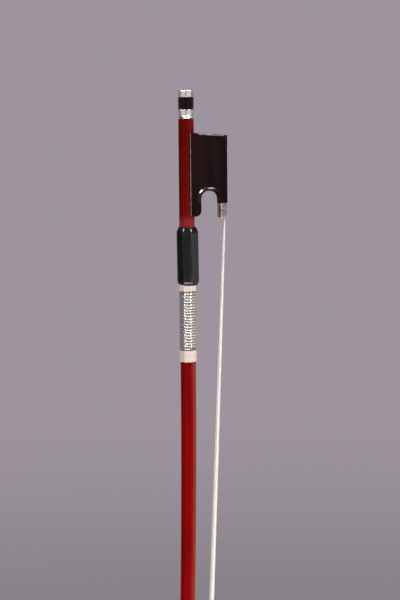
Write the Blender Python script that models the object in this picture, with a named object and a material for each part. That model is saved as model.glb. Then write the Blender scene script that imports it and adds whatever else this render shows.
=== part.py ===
"""A violin bow: a cambered octagonal stick with its carved head, and an ebony frog on a screw.

The bow is upright, as it hangs on show. +Z runs up the handle to the button, +X points from the
stick to the hair, and the origin is where the hand holds it: on the stick's axis, half way between
the frog and the thumb leather. Lengths are in metres and angles in degrees.

The frog and the screw are the parts that move. The screw turns about the stick's axis, and the
brass eyelet that is threaded on it draws the frog along the handle, which stretches the hair.
"""
import math

import bmesh
import bpy

# Fits
SEAT_GAP = 0.00025              # between pieces that are glued, pinned or pressed together
SLIDE_GAP = 0.00025             # between the stick and the frog's lining
WRAP_GAP = 0.0002               # between the stick and what is wound round it

# Overall
BOW_LENGTH = 0.745
THUMB_GAP = 0.0063              # bare stick between the frog and the leather
FROG_SETBACK = 0.0078           # bare stick between the frog and the button

# Stick, an octagon measured across its flats
HANDLE_WIDTH = 0.00868
NECK_WIDTH = 0.0054
TAPER_POWER = 1.7
CAMBER_DEPTH = 0.026            # how far the head stands back from the handle's axis
NIPPLE_RADIUS = 0.0028
NIPPLE_LENGTH = 0.0014

# Head, from the rear corner of its face plate to the tip of the beak
HEAD_LENGTH = 0.0255
HEAD_DROP = 0.0200              # from the stick's centreline to the outside of the face plate
THROAT_SWEEP = 0.0150           # length of the curve from the stick to the plate's rear corner
NOSE_SETBACK = 0.0045           # where the nose leaves the stick's line, from the rear corner
NOSE_POWER = 2.0                # higher keeps the nose level for longer before it falls
BEAK_RISE = 0.0012
BEAK_THICKNESS = 0.0012
PLATE_HALF_WIDTH = 0.0051
BEAK_HALF_WIDTH = 0.0008
CREST_HALF_WIDTH = 0.0007
PLATE_POINTEDNESS = 2.3         # higher keeps the plate wide for longer before it narrows
HEAD_CHEEK_POWER = 1.1          # 1 is a flat cheek, more is a hollow one
HEAD_CREST_SHARE = 0.12         # of the head's height, taken by the crest's chamfer
HEAD_SHOULDER_SHARE = 0.6       # how far the chamfer reaches from the crest to the full width
CHEEK_SHARES = (0.25, 0.5, 0.72, 0.9, 1.0)
FACE_PLATE_THICKNESS = 0.0010
LINER_THICKNESS = 0.0007
HEAD_MORTISE_START = 0.0036
HEAD_MORTISE_LENGTH = 0.0086
HEAD_MORTISE_HALF_WIDTH = 0.0034
HEAD_MORTISE_REAR_DEPTH = 0.0058
HEAD_MORTISE_TIP_DEPTH = 0.0044
HEAD_KNOT_THICKNESS = 0.0022

# Screw and button
SCREW_RADIUS = 0.00135
SCREW_REACH = 0.0405            # how far the screw runs into the stick
SCREW_PILOT_RADIUS = 0.00095
SCREW_PILOT_LENGTH = 0.0054
BORE_CLEARANCE = 0.0004
THREAD_CLEARANCE = 0.00015
THREAD_PITCH = 0.0009
TURNS_TIGHTER = 5.0
TURNS_LOOSER = 4.0
BUTTON_WIDTH = 0.0081           # octagon, flat to flat
BUTTON_CAP_LENGTH = 0.0041
BUTTON_BAND_LENGTH = 0.0066
BUTTON_COLLAR_LENGTH = 0.0049
BUTTON_CHAMFER = 0.0005
BUTTON_TURN = 22.5              # degrees, so that an edge faces the front
BUTTON_SPIGOT_RADIUS = 0.0030
CAP_END_THICKNESS = 0.0007

# Eyelet
EYELET_SETBACK = 0.0130         # from the frog's back to the middle of the eyelet
EYELET_RADIUS = 0.0023
EYELET_LENGTH = 0.0046
EYELET_SHANK_RADIUS = 0.0015
EYELET_SHANK_REACH = 0.0110     # from the stick's axis into the frog

# Frog, seen from the side: x is the distance from the stick's axis
FROG_LENGTH = 0.0467
FROG_TOP_X = 0.0026
FROG_BOTTOM_X = 0.0228
SADDLE_LIP = 0.0005             # ebony outside the lining, at the frog's top edge
FROG_BOTTOM_HALF_WIDTH = 0.0067
FROG_BACK_NARROWING = 0.0005
CHEEK_POWER = 1.8
BACK_SLANT = 0.0013
THROAT_RADIUS = 0.00437
THROAT_X = 0.0126
THROAT_DEPTH = 0.0097           # from the end of the thumb leg to the centre of the throat's arc
THROAT_EDGE_WIDTH = 0.0022
THROAT_EDGE_DEPTH = 0.0014
THROAT_EDGE_START = 12.0        # degrees, where the edge's rounding begins inside the arc
THROAT_EDGE_ENDS = (200.0, -10.0)        # degrees round the throat, from one leg to the other
THROAT_EDGE_FADE = 0.5          # lower keeps the rounding full for longer before it runs out
LEG_CORNER_RADIUS = 0.0032
LINING_THICKNESS = 0.0004
LINING_SCREW_HEAD_RADIUS = 0.0010
LINING_SCREW_RADIUS = 0.00045
LINING_SCREW_LENGTH = 0.0020
LINING_SCREW_INSET = 0.0055      # from the frog's front to the first screw
LINING_SCREW_SETBACK = 0.0044    # from the frog's back to the second

# Ferrule, wedge and hair channel
FERRULE_LENGTH = 0.0081
FERRULE_REACH = 0.0006          # how far it stands past the thumb leg's end
FERRULE_HALF_WIDTH = 0.00635
FERRULE_WALL = 0.00045
FERRULE_TOP_X = 0.0172
FERRULE_ARCH_RISE = 0.0020
FERRULE_BOTTOM_X = 0.02245
TONGUE_THICKNESS = 0.0013
WEDGE_LENGTH = 0.0037
WEDGE_THICKNESS = 0.0009
CHANNEL_HALF_WIDTH = 0.00465
CHANNEL_LIP_HALF_WIDTH = 0.00415
PEARL_THICKNESS = 0.0009
SLIDE_BACKING_THICKNESS = 0.0007
FROG_MORTISE_INSET = 0.0090     # from the middle of the throat's arc to the mortise's front wall
FROG_MORTISE_LENGTH = 0.0103
FROG_MORTISE_HALF_WIDTH = 0.0043
FROG_MORTISE_DEPTH = 0.0077
FROG_KNOT_THICKNESS = 0.0026

# Heel plate and its pins
HEEL_THICKNESS = 0.0005
HEEL_BACK_START_X = 0.0072
HEEL_SOLE_LENGTH = 0.0072
PIN_RADIUS = 0.00045
PIN_CLEARANCE = 0.0002
PIN_LENGTH = 0.0024
BACK_PIN_SPREAD = 0.0086        # between the two pins in the back, along the frog's height
SOLE_PIN_SPREAD = 0.0092        # between the two pins in the sole, across the frog

# Thumb leather and winding
LEATHER_LENGTH = 0.0316
LEATHER_WIDTH = 0.0120
LEATHER_SKIVE = 0.0024
LEATHER_EDGE_THICKNESS = 0.0004
LEATHER_SOFTENING = 0.5         # how much of the octagon's corners the leather rounds off
REAR_BAND_LENGTH = 0.0042
WIRE_LENGTH = 0.0332
FRONT_BAND_LENGTH = 0.0065
BAND_THICKNESS = 0.0003
TINSEL_WIDTH = 0.0009
TINSEL_THICKNESS = 0.0003
WINDING_TURNS = 19.5
THREAD_WIDTH = 0.00028

# Hair
HAIR_END_THICKNESS = 0.0011
HAIR_MIDDLE_THICKNESS = 0.0026
HAIR_FROG_HALF_WIDTH = 0.0051
HAIR_RIDGES = 12
HAIR_RIDGE_HEIGHT = 0.07        # of the half thickness
HAIR_SWELL_POWER = 0.6          # lower lets the ribbon thicken sooner from its ends
HAIR_EDGE_POWER = 0.7           # lower squares the ribbon's edges

# Places along the bow, worked out from the sizes above
FLAT_TO_CORNER = math.cos(math.pi / 8)
HALF_FACET = math.tan(math.pi / 8)       # of an octagon, over half its width
FROG_FRONT_Z = THUMB_GAP / 2
FROG_BACK_Z = FROG_FRONT_Z + FROG_LENGTH
STICK_END_Z = FROG_BACK_Z + FROG_SETBACK
COLLAR_Z = STICK_END_Z + SEAT_GAP
BAND_Z = COLLAR_Z + BUTTON_COLLAR_LENGTH + SEAT_GAP
CAP_Z = BAND_Z + BUTTON_BAND_LENGTH + SEAT_GAP
BUTTON_END_Z = CAP_Z + BUTTON_CAP_LENGTH
BEAK_Z = BUTTON_END_Z - BOW_LENGTH
HEAD_REAR_Z = BEAK_Z + HEAD_LENGTH
LEATHER_TOP_Z = -THUMB_GAP / 2
REAR_BAND_Z = LEATHER_TOP_Z - LEATHER_LENGTH - SEAT_GAP
WIRE_Z = REAR_BAND_Z - REAR_BAND_LENGTH - SEAT_GAP
FRONT_BAND_Z = WIRE_Z - WIRE_LENGTH - SEAT_GAP
CAMBER_Z = FRONT_BAND_Z - FRONT_BAND_LENGTH
THROAT_Z = FROG_FRONT_Z + THROAT_DEPTH
FERRULE_FRONT_Z = FROG_FRONT_Z - FERRULE_REACH
FERRULE_BACK_Z = FERRULE_FRONT_Z + FERRULE_LENGTH
FERRULE_SEAT_Z = FERRULE_BACK_Z + SEAT_GAP
MORTISE_FRONT_Z = THROAT_Z + FROG_MORTISE_INSET
MORTISE_BACK_Z = MORTISE_FRONT_Z + FROG_MORTISE_LENGTH
EYELET_Z = FROG_BACK_Z - EYELET_SETBACK
HEEL_SOLE_Z = FROG_BACK_Z - BACK_SLANT - HEEL_SOLE_LENGTH

# Distances from the stick's axis, worked out from the sizes above
HANDLE_HALF = HANDLE_WIDTH / 2
LINING_INNER = HANDLE_HALF + SLIDE_GAP
LINING_OUTER = LINING_INNER + LINING_THICKNESS
SADDLE_HALF = LINING_OUTER + SEAT_GAP
FROG_TOP_HALF_WIDTH = SADDLE_HALF * (1 + HALF_FACET) - FROG_TOP_X + SADDLE_LIP
TONGUE_TOP_X = FERRULE_TOP_X + FERRULE_WALL + SEAT_GAP
CHANNEL_FLOOR_X = TONGUE_TOP_X + TONGUE_THICKNESS
FERRULE_FLOOR_X = FERRULE_BOTTOM_X - FERRULE_WALL
HAIR_MOUTH_X = FERRULE_FLOOR_X - SEAT_GAP - HAIR_END_THICKNESS / 2
HAIR_CHANNEL_X = CHANNEL_FLOOR_X + SEAT_GAP + HAIR_END_THICKNESS / 2
SLIDE_INNER_X = HAIR_CHANNEL_X + HAIR_END_THICKNESS / 2 + SEAT_GAP
FACE_REAR_X = HEAD_DROP - CAMBER_DEPTH
HAIR_REAR_X = FACE_REAR_X + SEAT_GAP + HAIR_END_THICKNESS / 2
HAIR_SLOPE = (HAIR_MOUTH_X - HAIR_REAR_X) / (FERRULE_FRONT_Z - HEAD_REAR_Z)
WOOD_SETBACK = FACE_PLATE_THICKNESS + LINER_THICKNESS + 2 * SEAT_GAP
HEAD_MORTISE_Z = HEAD_REAR_Z - HEAD_MORTISE_START
HAIR_END_Z = HEAD_MORTISE_Z - HEAD_MORTISE_LENGTH + SEAT_GAP
HAIR_HEAD_HALF_WIDTH = HEAD_MORTISE_HALF_WIDTH - SEAT_GAP

# Small steps that keep joined and cut faces from lying exactly on each other
FACE_STEP = 0.0001
JOINT_OVERLAP = 0.001
BLOCK_SPARE = 0.006
BEYOND = 0.03

# How finely the round shapes are faceted
CIRCLE_STEPS = 24
ARC_STEPS = 12
STICK_STEPS = 34
THROAT_STEPS = 12
THROAT_EDGE_STEPS = 5
ARCH_STEPS = 16
CHEEK_STEPS = 7
ROD_STEPS = 12
HEAD_STEPS = 18
LOOP_STEPS = 24
KNOT_STEPS = 4
LEATHER_STEPS = 24
SKIVE_STEPS = 4
HAIR_RING_STEPS = 24
HAIR_LENGTH_STEPS = 26
SMOOTH_ANGLE = math.radians(32)

COLOURS = {
    "varnished_wood": ((0.17, 0.008, 0.006), 0.28, 0.0),
    "ebony": ((0.010, 0.006, 0.006), 0.30, 0.0),
    "silver": ((0.62, 0.59, 0.57), 0.28, 1.0),
    "steel": ((0.42, 0.42, 0.43), 0.30, 1.0),
    "brass": ((0.60, 0.42, 0.16), 0.32, 1.0),
    "pearl": ((0.72, 0.72, 0.70), 0.22, 0.0),
    "bone": ((0.80, 0.76, 0.66), 0.40, 0.0),
    "cream_silk": ((0.78, 0.68, 0.60), 0.50, 0.0),
    "grey_silk": ((0.13, 0.10, 0.09), 0.70, 0.0),
    "black_leather": ((0.012, 0.010, 0.010), 0.48, 0.0),
    "horsehair": ((0.85, 0.78, 0.68), 0.45, 0.0),
    "maple": ((0.55, 0.38, 0.22), 0.55, 0.0),
}


def clear_scene():
    """Takes out whatever objects the scene held."""
    for thing in list(bpy.data.objects):
        bpy.data.objects.remove(thing, do_unlink=True)


def material(name):
    """The Principled material of this name, made once from its colour, roughness and metallic value."""
    found = bpy.data.materials.get(name)
    if found:
        return found
    colour, roughness, metallic = COLOURS[name]
    made = bpy.data.materials.new(name)
    made.use_nodes = True
    shader = made.node_tree.nodes["Principled BSDF"]
    shader.inputs["Base Color"].default_value = (*colour, 1.0)
    shader.inputs["Roughness"].default_value = roughness
    shader.inputs["Metallic"].default_value = metallic
    return made


def add_object(name, bm, finish=None, parent=None):
    """Turns a bmesh into an object with its faces pointing out, smooth where the angles are small."""
    bmesh.ops.recalc_face_normals(bm, faces=bm.faces)
    mesh = bpy.data.meshes.new(name)
    bm.to_mesh(mesh)
    bm.free()
    mesh.shade_smooth()
    mesh.set_sharp_from_angle(angle=SMOOTH_ANGLE)
    thing = bpy.data.objects.new(name, mesh)
    bpy.context.scene.collection.objects.link(thing)
    if finish:
        mesh.materials.append(material(finish))
    thing.parent = parent
    return thing


def loft(rings, closed=False):
    """A bmesh skin through rings of equal point counts, capped at both ends unless it closes on itself."""
    bm = bmesh.new()
    loops = [[bm.verts.new(point) for point in ring] for ring in rings]
    pairs = list(zip(loops, loops[1:]))
    if closed:
        pairs.append((loops[-1], loops[0]))
    for first, second in pairs:
        for i in range(len(first)):
            j = (i + 1) % len(first)
            bm.faces.new((first[i], first[j], second[j], second[i]))
    if not closed:
        bm.faces.new(loops[0])
        bm.faces.new(loops[-1])
    return bm


def upright_prism(section, low, high):
    """A bmesh prism whose section lies in XY, from z = low to z = high."""
    return loft([[(x, y, z) for x, y in section] for z in (low, high)])


def side_prism(outline, half_width):
    """A bmesh prism whose outline lies in XZ, as wide on both sides of y = 0."""
    return loft([[(x, y, z) for x, z in outline] for y in (-half_width, half_width)])


def tube(rings_outside, rings_inside):
    """A bmesh pipe: its outside rings, then its inside rings back again, skinned as one closed loop."""
    return loft(rings_outside + rings_inside[::-1], closed=True)


def octagon(width, turn=0.0):
    """Corners of an octagon of this width across its flats, which face X and Y when turn is zero."""
    radius = width / 2 / FLAT_TO_CORNER
    angles = [math.radians(turn + 22.5 + 45.0 * i) for i in range(8)]
    return [(radius * math.cos(a), radius * math.sin(a)) for a in angles]


def circle(radius, steps=CIRCLE_STEPS):
    """Points of a circle round the stick's axis."""
    angles = [math.pi * (2 * i + 1) / steps for i in range(steps)]
    return [(radius * math.cos(a), radius * math.sin(a)) for a in angles]


def arc(centre, radius, start, end, steps=ARC_STEPS):
    """Points on an arc between two angles in degrees, both ends included."""
    angles = [math.radians(start + (end - start) * i / steps) for i in range(steps + 1)]
    return [(centre[0] + radius * math.cos(a), centre[1] + radius * math.sin(a)) for a in angles]


def at_height(section, z):
    """Lifts a section in XY to height z."""
    return [(x, y, z) for x, y in section]


def rod(centre, direction, radius, length):
    """A bmesh cylinder from a centre point, along +X, -X, +Z or -Z."""
    x, y, z = centre
    section = circle(radius, ROD_STEPS)
    rings = []
    for along in (0.0, length if direction[0] == "+" else -length):
        if direction[1] == "X":
            rings.append([(x + along, y + a, z + b) for a, b in section])
        else:
            rings.append([(x + a, y + b, z + along) for a, b in section])
    return loft(rings)


def use(target, cutter, operation="DIFFERENCE"):
    """Cuts, joins or intersects the target with a hidden cutter."""
    cutter.hide_render = True
    cutter.display_type = "WIRE"
    step = target.modifiers.new(cutter.name, "BOOLEAN")
    step.operation = operation
    step.solver = "EXACT"
    step.object = cutter


def stick_centre_x(z):
    """The stick's centreline: straight along the handle, then a parabola that leans away from the hair."""
    if z >= CAMBER_Z:
        return 0.0
    along = (CAMBER_Z - z) / (CAMBER_Z - HEAD_REAR_Z)
    return -CAMBER_DEPTH * along ** 2


def stick_width(z):
    """The stick's width across its flats, which shrinks faster the nearer it is to the head."""
    along = min(max((CAMBER_Z - z) / (CAMBER_Z - HEAD_REAR_Z), 0.0), 1.0)
    return HANDLE_WIDTH + (NECK_WIDTH - HANDLE_WIDTH) * along ** TAPER_POWER


def hair_x(z):
    """The straight line of the hair's middle, from the ferrule's mouth to the head."""
    return HAIR_MOUTH_X + HAIR_SLOPE * (z - FERRULE_FRONT_Z)


def head_share(z):
    """How far a place lies from the plate's rear corner, 0, to the tip of the beak, 1."""
    return (HEAD_REAR_Z - z) / HEAD_LENGTH


def face_x(z):
    """The outside of the face plate: in line with the hair, then curving back at the beak."""
    rise = BEAK_RISE * max(head_share(z), 0.0) ** 3
    return hair_x(z) - HAIR_END_THICKNESS / 2 - SEAT_GAP - rise


def plate_half_width(z):
    """The face plate's outline: nearly parallel at the rear, drawn in to the beak."""
    share = min(max(head_share(z), 0.0), 1.0)
    return PLATE_HALF_WIDTH + (BEAK_HALF_WIDTH - PLATE_HALF_WIDTH) * share ** PLATE_POINTEDNESS


def section_points(side):
    """Mirrors one side's points, from the stick's back to the hair side, into a closed section."""
    return [(x, y) for x, y in side] + [(x, -y) for x, y in reversed(side)]


def octagon_side(centre, width):
    """One side of the stick's octagon as seven points, from its back facet to its hair-side facet."""
    half = width / 2
    corner = half * HALF_FACET
    places = [(-half, corner), (-corner, half), (-corner / 2, half), (0.0, half)]
    places += [(corner / 2, half), (corner, half), (half, corner)]
    return [(centre + x, y) for x, y in places]


def head_side(top, bottom, shoulder, half_width):
    """One side of the head as seven points: a narrow crest, a chamfer, and a hollow cheek."""
    height = bottom - top
    cheek_top = top + height * HEAD_CREST_SHARE
    side = [(top, min(CREST_HALF_WIDTH, half_width)), (cheek_top, shoulder)]
    for share in CHEEK_SHARES:
        x = cheek_top + (bottom - cheek_top) * share
        side.append((x, shoulder + (half_width - shoulder) * share ** HEAD_CHEEK_POWER))
    return side


def blend_sides(first, second, share):
    """Mixes two sides point by point."""
    return [(a[0] + (b[0] - a[0]) * share, a[1] + (b[1] - a[1]) * share) for a, b in zip(first, second)]


def nose_x(z):
    """The head's top line: on with the stick's back, then down the nose to the beak."""
    back = stick_centre_x(z) - stick_width(z) / 2
    share = (HEAD_REAR_Z - NOSE_SETBACK - z) / (HEAD_LENGTH - NOSE_SETBACK)
    if share <= 0:
        return back
    tip = face_x(BEAK_Z) - WOOD_SETBACK - BEAK_THICKNESS
    fall = (share ** NOSE_POWER + math.sin(share * math.pi / 2) ** 2) / 2
    return back + (tip - back) * fall


def head_ring(z, bottom, blend):
    """The head's section at z: the octagon where blend is 0, the full hatchet where it is 1."""
    top = nose_x(z)
    half_width = plate_half_width(z)
    shoulder = CREST_HALF_WIDTH + (half_width - CREST_HALF_WIDTH) * HEAD_SHOULDER_SHARE
    shoulder = min(stick_width(z) / 2, shoulder)
    plain = octagon_side(stick_centre_x(z), stick_width(z))
    full = head_side(top, bottom, shoulder, half_width)
    return at_height(section_points(blend_sides(plain, full, blend)), z)


def stick_rings():
    """Sections of the stick from its end to the beak: handle, cambered shaft, throat and head."""
    rings = []
    handle = section_points(octagon_side(0.0, HANDLE_WIDTH))
    rings.append(at_height(handle, STICK_END_Z))
    throat_z = HEAD_REAR_Z + THROAT_SWEEP
    for i in range(STICK_STEPS + 1):
        z = CAMBER_Z + (throat_z - CAMBER_Z) * i / STICK_STEPS
        side = octagon_side(stick_centre_x(z), stick_width(z))
        rings.append(at_height(section_points(side), z))
    for i in range(1, THROAT_STEPS + 1):
        turn = math.pi / 2 * i / THROAT_STEPS
        z = throat_z - THROAT_SWEEP * math.sin(turn)
        under = stick_centre_x(z) + stick_width(z) / 2
        blend = 1.0 - math.cos(turn)
        bottom = under + (face_x(HEAD_REAR_Z) - WOOD_SETBACK - under) * blend
        rings.append(head_ring(z, bottom, blend))
    for i in range(1, HEAD_STEPS + 1):
        z = HEAD_REAR_Z - HEAD_LENGTH * i / HEAD_STEPS
        rings.append(head_ring(z, face_x(z) - WOOD_SETBACK, 1.0))
    return rings


def head_mortise_floor(z):
    """The sloping floor of the head's mortise, shallower towards the beak."""
    share = (HEAD_MORTISE_Z - z) / HEAD_MORTISE_LENGTH
    depth = HEAD_MORTISE_REAR_DEPTH + (HEAD_MORTISE_TIP_DEPTH - HEAD_MORTISE_REAR_DEPTH) * share
    return face_x(HEAD_MORTISE_Z) - depth


def head_mortise_cutter():
    """The pocket for the hair's knot, cut through the plate and the liner into the head."""
    high = HEAD_MORTISE_Z
    low = HEAD_MORTISE_Z - HEAD_MORTISE_LENGTH
    outline = [(head_mortise_floor(high), high), (BEYOND, high)]
    outline += [(BEYOND, low), (head_mortise_floor(low), low)]
    return add_object("head_mortise_cutter", side_prism(outline, HEAD_MORTISE_HALF_WIDTH))


def make_stick(mortise):
    """The stick and head in one, with its nipple, screw bore, eyelet slot and head mortise."""
    stick = add_object("stick", loft(stick_rings()), "varnished_wood")
    nipple = circle(NIPPLE_RADIUS)
    nipple_bm = upright_prism(nipple, STICK_END_Z - JOINT_OVERLAP, STICK_END_Z + NIPPLE_LENGTH)
    use(stick, add_object("nipple_joiner", nipple_bm), "UNION")
    bore_floor = STICK_END_Z - SCREW_REACH - 2 * SEAT_GAP
    bore_bm = upright_prism(circle(SCREW_RADIUS + BORE_CLEARANCE), bore_floor, BUTTON_END_Z)
    use(stick, add_object("bore_cutter", bore_bm))
    reach = EYELET_LENGTH / 2 + 2 * SEAT_GAP
    low = EYELET_Z - reach - TURNS_LOOSER * THREAD_PITCH
    high = EYELET_Z + reach + TURNS_TIGHTER * THREAD_PITCH
    inner = -EYELET_RADIUS - SEAT_GAP
    outline = [(inner, low), (HANDLE_WIDTH, low), (HANDLE_WIDTH, high), (inner, high)]
    use(stick, add_object("eyelet_slot_cutter", side_prism(outline, EYELET_RADIUS + SEAT_GAP)))
    use(stick, mortise)
    return stick


def plate_rings(outside, thickness):
    """Sections of a slab that follows the head's face, at a depth below the face plate's outside."""
    rings = []
    for i in range(HEAD_STEPS + 1):
        z = HEAD_REAR_Z - HEAD_LENGTH * i / HEAD_STEPS
        outer = face_x(z) - outside
        half = plate_half_width(z)
        section = [(outer - thickness, half), (outer, half), (outer, -half), (outer - thickness, -half)]
        rings.append(at_height(section, z))
    return rings


def make_face_plates(mortise):
    """The bone face plate and the ebony liner between it and the wood."""
    plate = add_object("head_face_plate", loft(plate_rings(0.0, FACE_PLATE_THICKNESS)), "bone")
    depth = FACE_PLATE_THICKNESS + SEAT_GAP
    liner = add_object("head_plate_liner", loft(plate_rings(depth, LINER_THICKNESS)), "ebony")
    use(plate, mortise)
    use(liner, mortise)


def strap(path):
    """A bmesh strip along points in XZ, each given as (x, z, half width, thickness)."""
    rings = []
    for i, (x, z, half, thick) in enumerate(path):
        before = path[max(i - 1, 0)]
        after = path[min(i + 1, len(path) - 1)]
        dx = after[0] - before[0]
        dz = after[1] - before[1]
        size = math.hypot(dx, dz)
        nx = -dz / size * thick / 2
        nz = dx / size * thick / 2
        corners = [(x + nx, half, z + nz), (x + nx, -half, z + nz), (x - nx, -half, z - nz)]
        rings.append(corners + [(x - nx, half, z - nz)])
    return loft(rings)


def make_head_fixings():
    """The hair's tied end in the head and the wooden plug that holds it there."""
    half = HEAD_MORTISE_HALF_WIDTH - SEAT_GAP
    low = HEAD_MORTISE_Z - HEAD_MORTISE_LENGTH + SEAT_GAP
    plug_low = low + HEAD_KNOT_THICKNESS + SEAT_GAP
    plug_high = HEAD_MORTISE_Z - SEAT_GAP
    floor = head_mortise_floor(low) + SEAT_GAP
    surface = face_x(low)
    knot_z = low + HEAD_KNOT_THICKNESS / 2
    tail_z = low + HAIR_END_THICKNESS / 2
    waist = (floor + surface) / 2
    path = [(floor, knot_z, half, HEAD_KNOT_THICKNESS), (waist, knot_z, half, HEAD_KNOT_THICKNESS)]
    path += [(waist + HAIR_END_THICKNESS, tail_z, half, HAIR_END_THICKNESS)]
    path += [(surface, tail_z, half, HAIR_END_THICKNESS)]
    add_object("head_hair_knot", strap(path), "horsehair")
    outline = [(head_mortise_floor(plug_low) + SEAT_GAP, plug_low), (face_x(plug_low), plug_low)]
    outline += [(face_x(plug_high), plug_high), (head_mortise_floor(plug_high) + SEAT_GAP, plug_high)]
    add_object("head_plug", side_prism(outline, half), "maple")


def hair_section(z, thickness, half_width):
    """A flat oval of horsehair whose rim is ridged lengthwise, as bundled strands are."""
    points = []
    for i in range(HAIR_RING_STEPS):
        angle = 2 * math.pi * i / HAIR_RING_STEPS
        ridge = 1.0 - HAIR_RIDGE_HEIGHT * (1.0 - math.cos(HAIR_RIDGES * angle))
        across = math.copysign(abs(math.sin(angle)) ** HAIR_EDGE_POWER, math.sin(angle))
        points.append((hair_x(z) + thickness / 2 * across * ridge, half_width * math.cos(angle), z))
    return points


def make_hair():
    """The free hair: a flat ribbon that swells a little between the ferrule and the head."""
    top = FERRULE_FRONT_Z - SEAT_GAP
    rings = []
    for i in range(HAIR_LENGTH_STEPS + 1):
        share = i / HAIR_LENGTH_STEPS
        z = top + (HAIR_END_Z - top) * share
        swell = max(math.sin(math.pi * share), 0.0) ** HAIR_SWELL_POWER
        over_plate = z < HEAD_REAR_Z + THROAT_SWEEP
        thick = HAIR_END_THICKNESS + (HAIR_MIDDLE_THICKNESS - HAIR_END_THICKNESS) * swell
        if over_plate:
            thick = HAIR_END_THICKNESS
        half = HAIR_FROG_HALF_WIDTH + (HAIR_HEAD_HALF_WIDTH - HAIR_FROG_HALF_WIDTH) * share
        rings.append(hair_section(z, thick, half))
    add_object("hair", loft(rings), "horsehair")


def frog_section(z):
    """The frog's section at z: the saddle that sits on the stick, and the hollow cheeks."""
    inner = SADDLE_HALF * HALF_FACET
    rim_y = SADDLE_HALF + inner - FROG_TOP_X
    share_back = (z - FROG_FRONT_Z) / FROG_LENGTH
    wide = FROG_BOTTOM_HALF_WIDTH - FROG_BACK_NARROWING * share_back
    side = [(SADDLE_HALF, inner), (FROG_TOP_X, rim_y)]
    for i in range(CHEEK_STEPS + 1):
        share = i / CHEEK_STEPS
        x = FROG_TOP_X + (FROG_BOTTOM_X - FROG_TOP_X) * share
        side.append((x, FROG_TOP_HALF_WIDTH + (wide - FROG_TOP_HALF_WIDTH) * share ** CHEEK_POWER))
    return at_height(section_points(side), z)


def frog_block():
    """The frog's section carried from before its front to past its back, as a bmesh."""
    return loft([frog_section(FROG_FRONT_Z - BLOCK_SPARE), frog_section(FROG_BACK_Z + BLOCK_SPARE)])


def frog_back_z(x):
    """The frog's slanted back, which leans forward towards the hair."""
    return FROG_BACK_Z - BACK_SLANT * (x - FROG_TOP_X) / (FROG_BOTTOM_X - FROG_TOP_X)


def frog_front_cutter():
    """Cuts the front of the frog: the thumb leg's end and round corner, the throat, the ferrule's seat."""
    leg_x = THROAT_X - THROAT_RADIUS
    corner = (leg_x - LEG_CORNER_RADIUS, FROG_FRONT_Z + LEG_CORNER_RADIUS)
    outline = [(-BEYOND, FROG_FRONT_Z - BEYOND), (-BEYOND, FROG_FRONT_Z)]
    outline += arc(corner, LEG_CORNER_RADIUS, -90, 0, 8)
    outline += arc((THROAT_X, THROAT_Z), THROAT_RADIUS, 180, 0, ARCH_STEPS)
    outline += [(THROAT_X + THROAT_RADIUS, FERRULE_SEAT_Z), (BEYOND, FERRULE_SEAT_Z)]
    outline += [(BEYOND, FROG_FRONT_Z - BEYOND)]
    return add_object("frog_front_cutter", side_prism(outline, BEYOND))


def frog_back_cutter():
    """Cuts the frog's slanted back."""
    outline = [(-BEYOND, frog_back_z(-BEYOND)), (BEYOND, frog_back_z(BEYOND))]
    outline += [(BEYOND, FROG_BACK_Z + BEYOND), (-BEYOND, FROG_BACK_Z + BEYOND)]
    return add_object("frog_back_cutter", side_prism(outline, BEYOND))


def throat_edge_cutter(side):
    """Rounds the throat's edge on one cheek: the throat's arc, growing by a quarter ellipse."""
    share = (THROAT_X - FROG_TOP_X) / (FROG_BOTTOM_X - FROG_TOP_X)
    cheek = FROG_TOP_HALF_WIDTH + (FROG_BOTTOM_HALF_WIDTH - FROG_TOP_HALF_WIDTH) * share ** CHEEK_POWER
    steps = THROAT_EDGE_STEPS
    rings = []
    for i in range(steps + 2):
        turn = math.radians(THROAT_EDGE_START + (90 - THROAT_EDGE_START) * min(i, steps) / steps)
        grow = THROAT_EDGE_WIDTH * (1 - math.cos(turn))
        y = cheek - THROAT_EDGE_DEPTH * (1 - math.sin(turn))
        if i > steps:
            y = cheek + THROAT_EDGE_DEPTH
        rings.append(throat_edge_ring(grow, side * y))
    return add_object("throat_edge_cutter_" + ("left" if side < 0 else "right"), loft(rings))


def throat_edge_ring(grow, y):
    """The throat's outline at one depth of its rounded edge; it fades out down the legs."""
    first, last = THROAT_EDGE_ENDS
    points = []
    for i in range(ARCH_STEPS + 1):
        angle = math.radians(first + (last - first) * i / ARCH_STEPS)
        fade = max(math.sin(math.pi * i / ARCH_STEPS), 0.0) ** THROAT_EDGE_FADE
        radius = THROAT_RADIUS - FACE_STEP + grow * fade
        points.append((THROAT_X + radius * math.cos(angle), y, THROAT_Z + radius * math.sin(angle)))
    return points


def channel_cutter():
    """The hair channel and the dovetail that holds the pearl slide, open to the hair side."""
    slope = (CHANNEL_HALF_WIDTH - CHANNEL_LIP_HALF_WIDTH) / (FROG_BOTTOM_X - SLIDE_INNER_X)
    over = JOINT_OVERLAP
    side = [(CHANNEL_FLOOR_X, CHANNEL_HALF_WIDTH), (SLIDE_INNER_X, CHANNEL_HALF_WIDTH)]
    side += [(FROG_BOTTOM_X + over, CHANNEL_LIP_HALF_WIDTH - slope * over)]
    section = section_points(side)
    cutter_bm = upright_prism(section, FERRULE_SEAT_Z - JOINT_OVERLAP, HEEL_SOLE_Z)
    return add_object("channel_cutter", cutter_bm)


def slide_half_width(x):
    """The pearl slide's half width, narrower outside than inside so that it can't fall out."""
    share = (x - SLIDE_INNER_X) / (FROG_BOTTOM_X - SLIDE_INNER_X)
    return CHANNEL_HALF_WIDTH + (CHANNEL_LIP_HALF_WIDTH - CHANNEL_HALF_WIDTH) * share - SEAT_GAP


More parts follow.
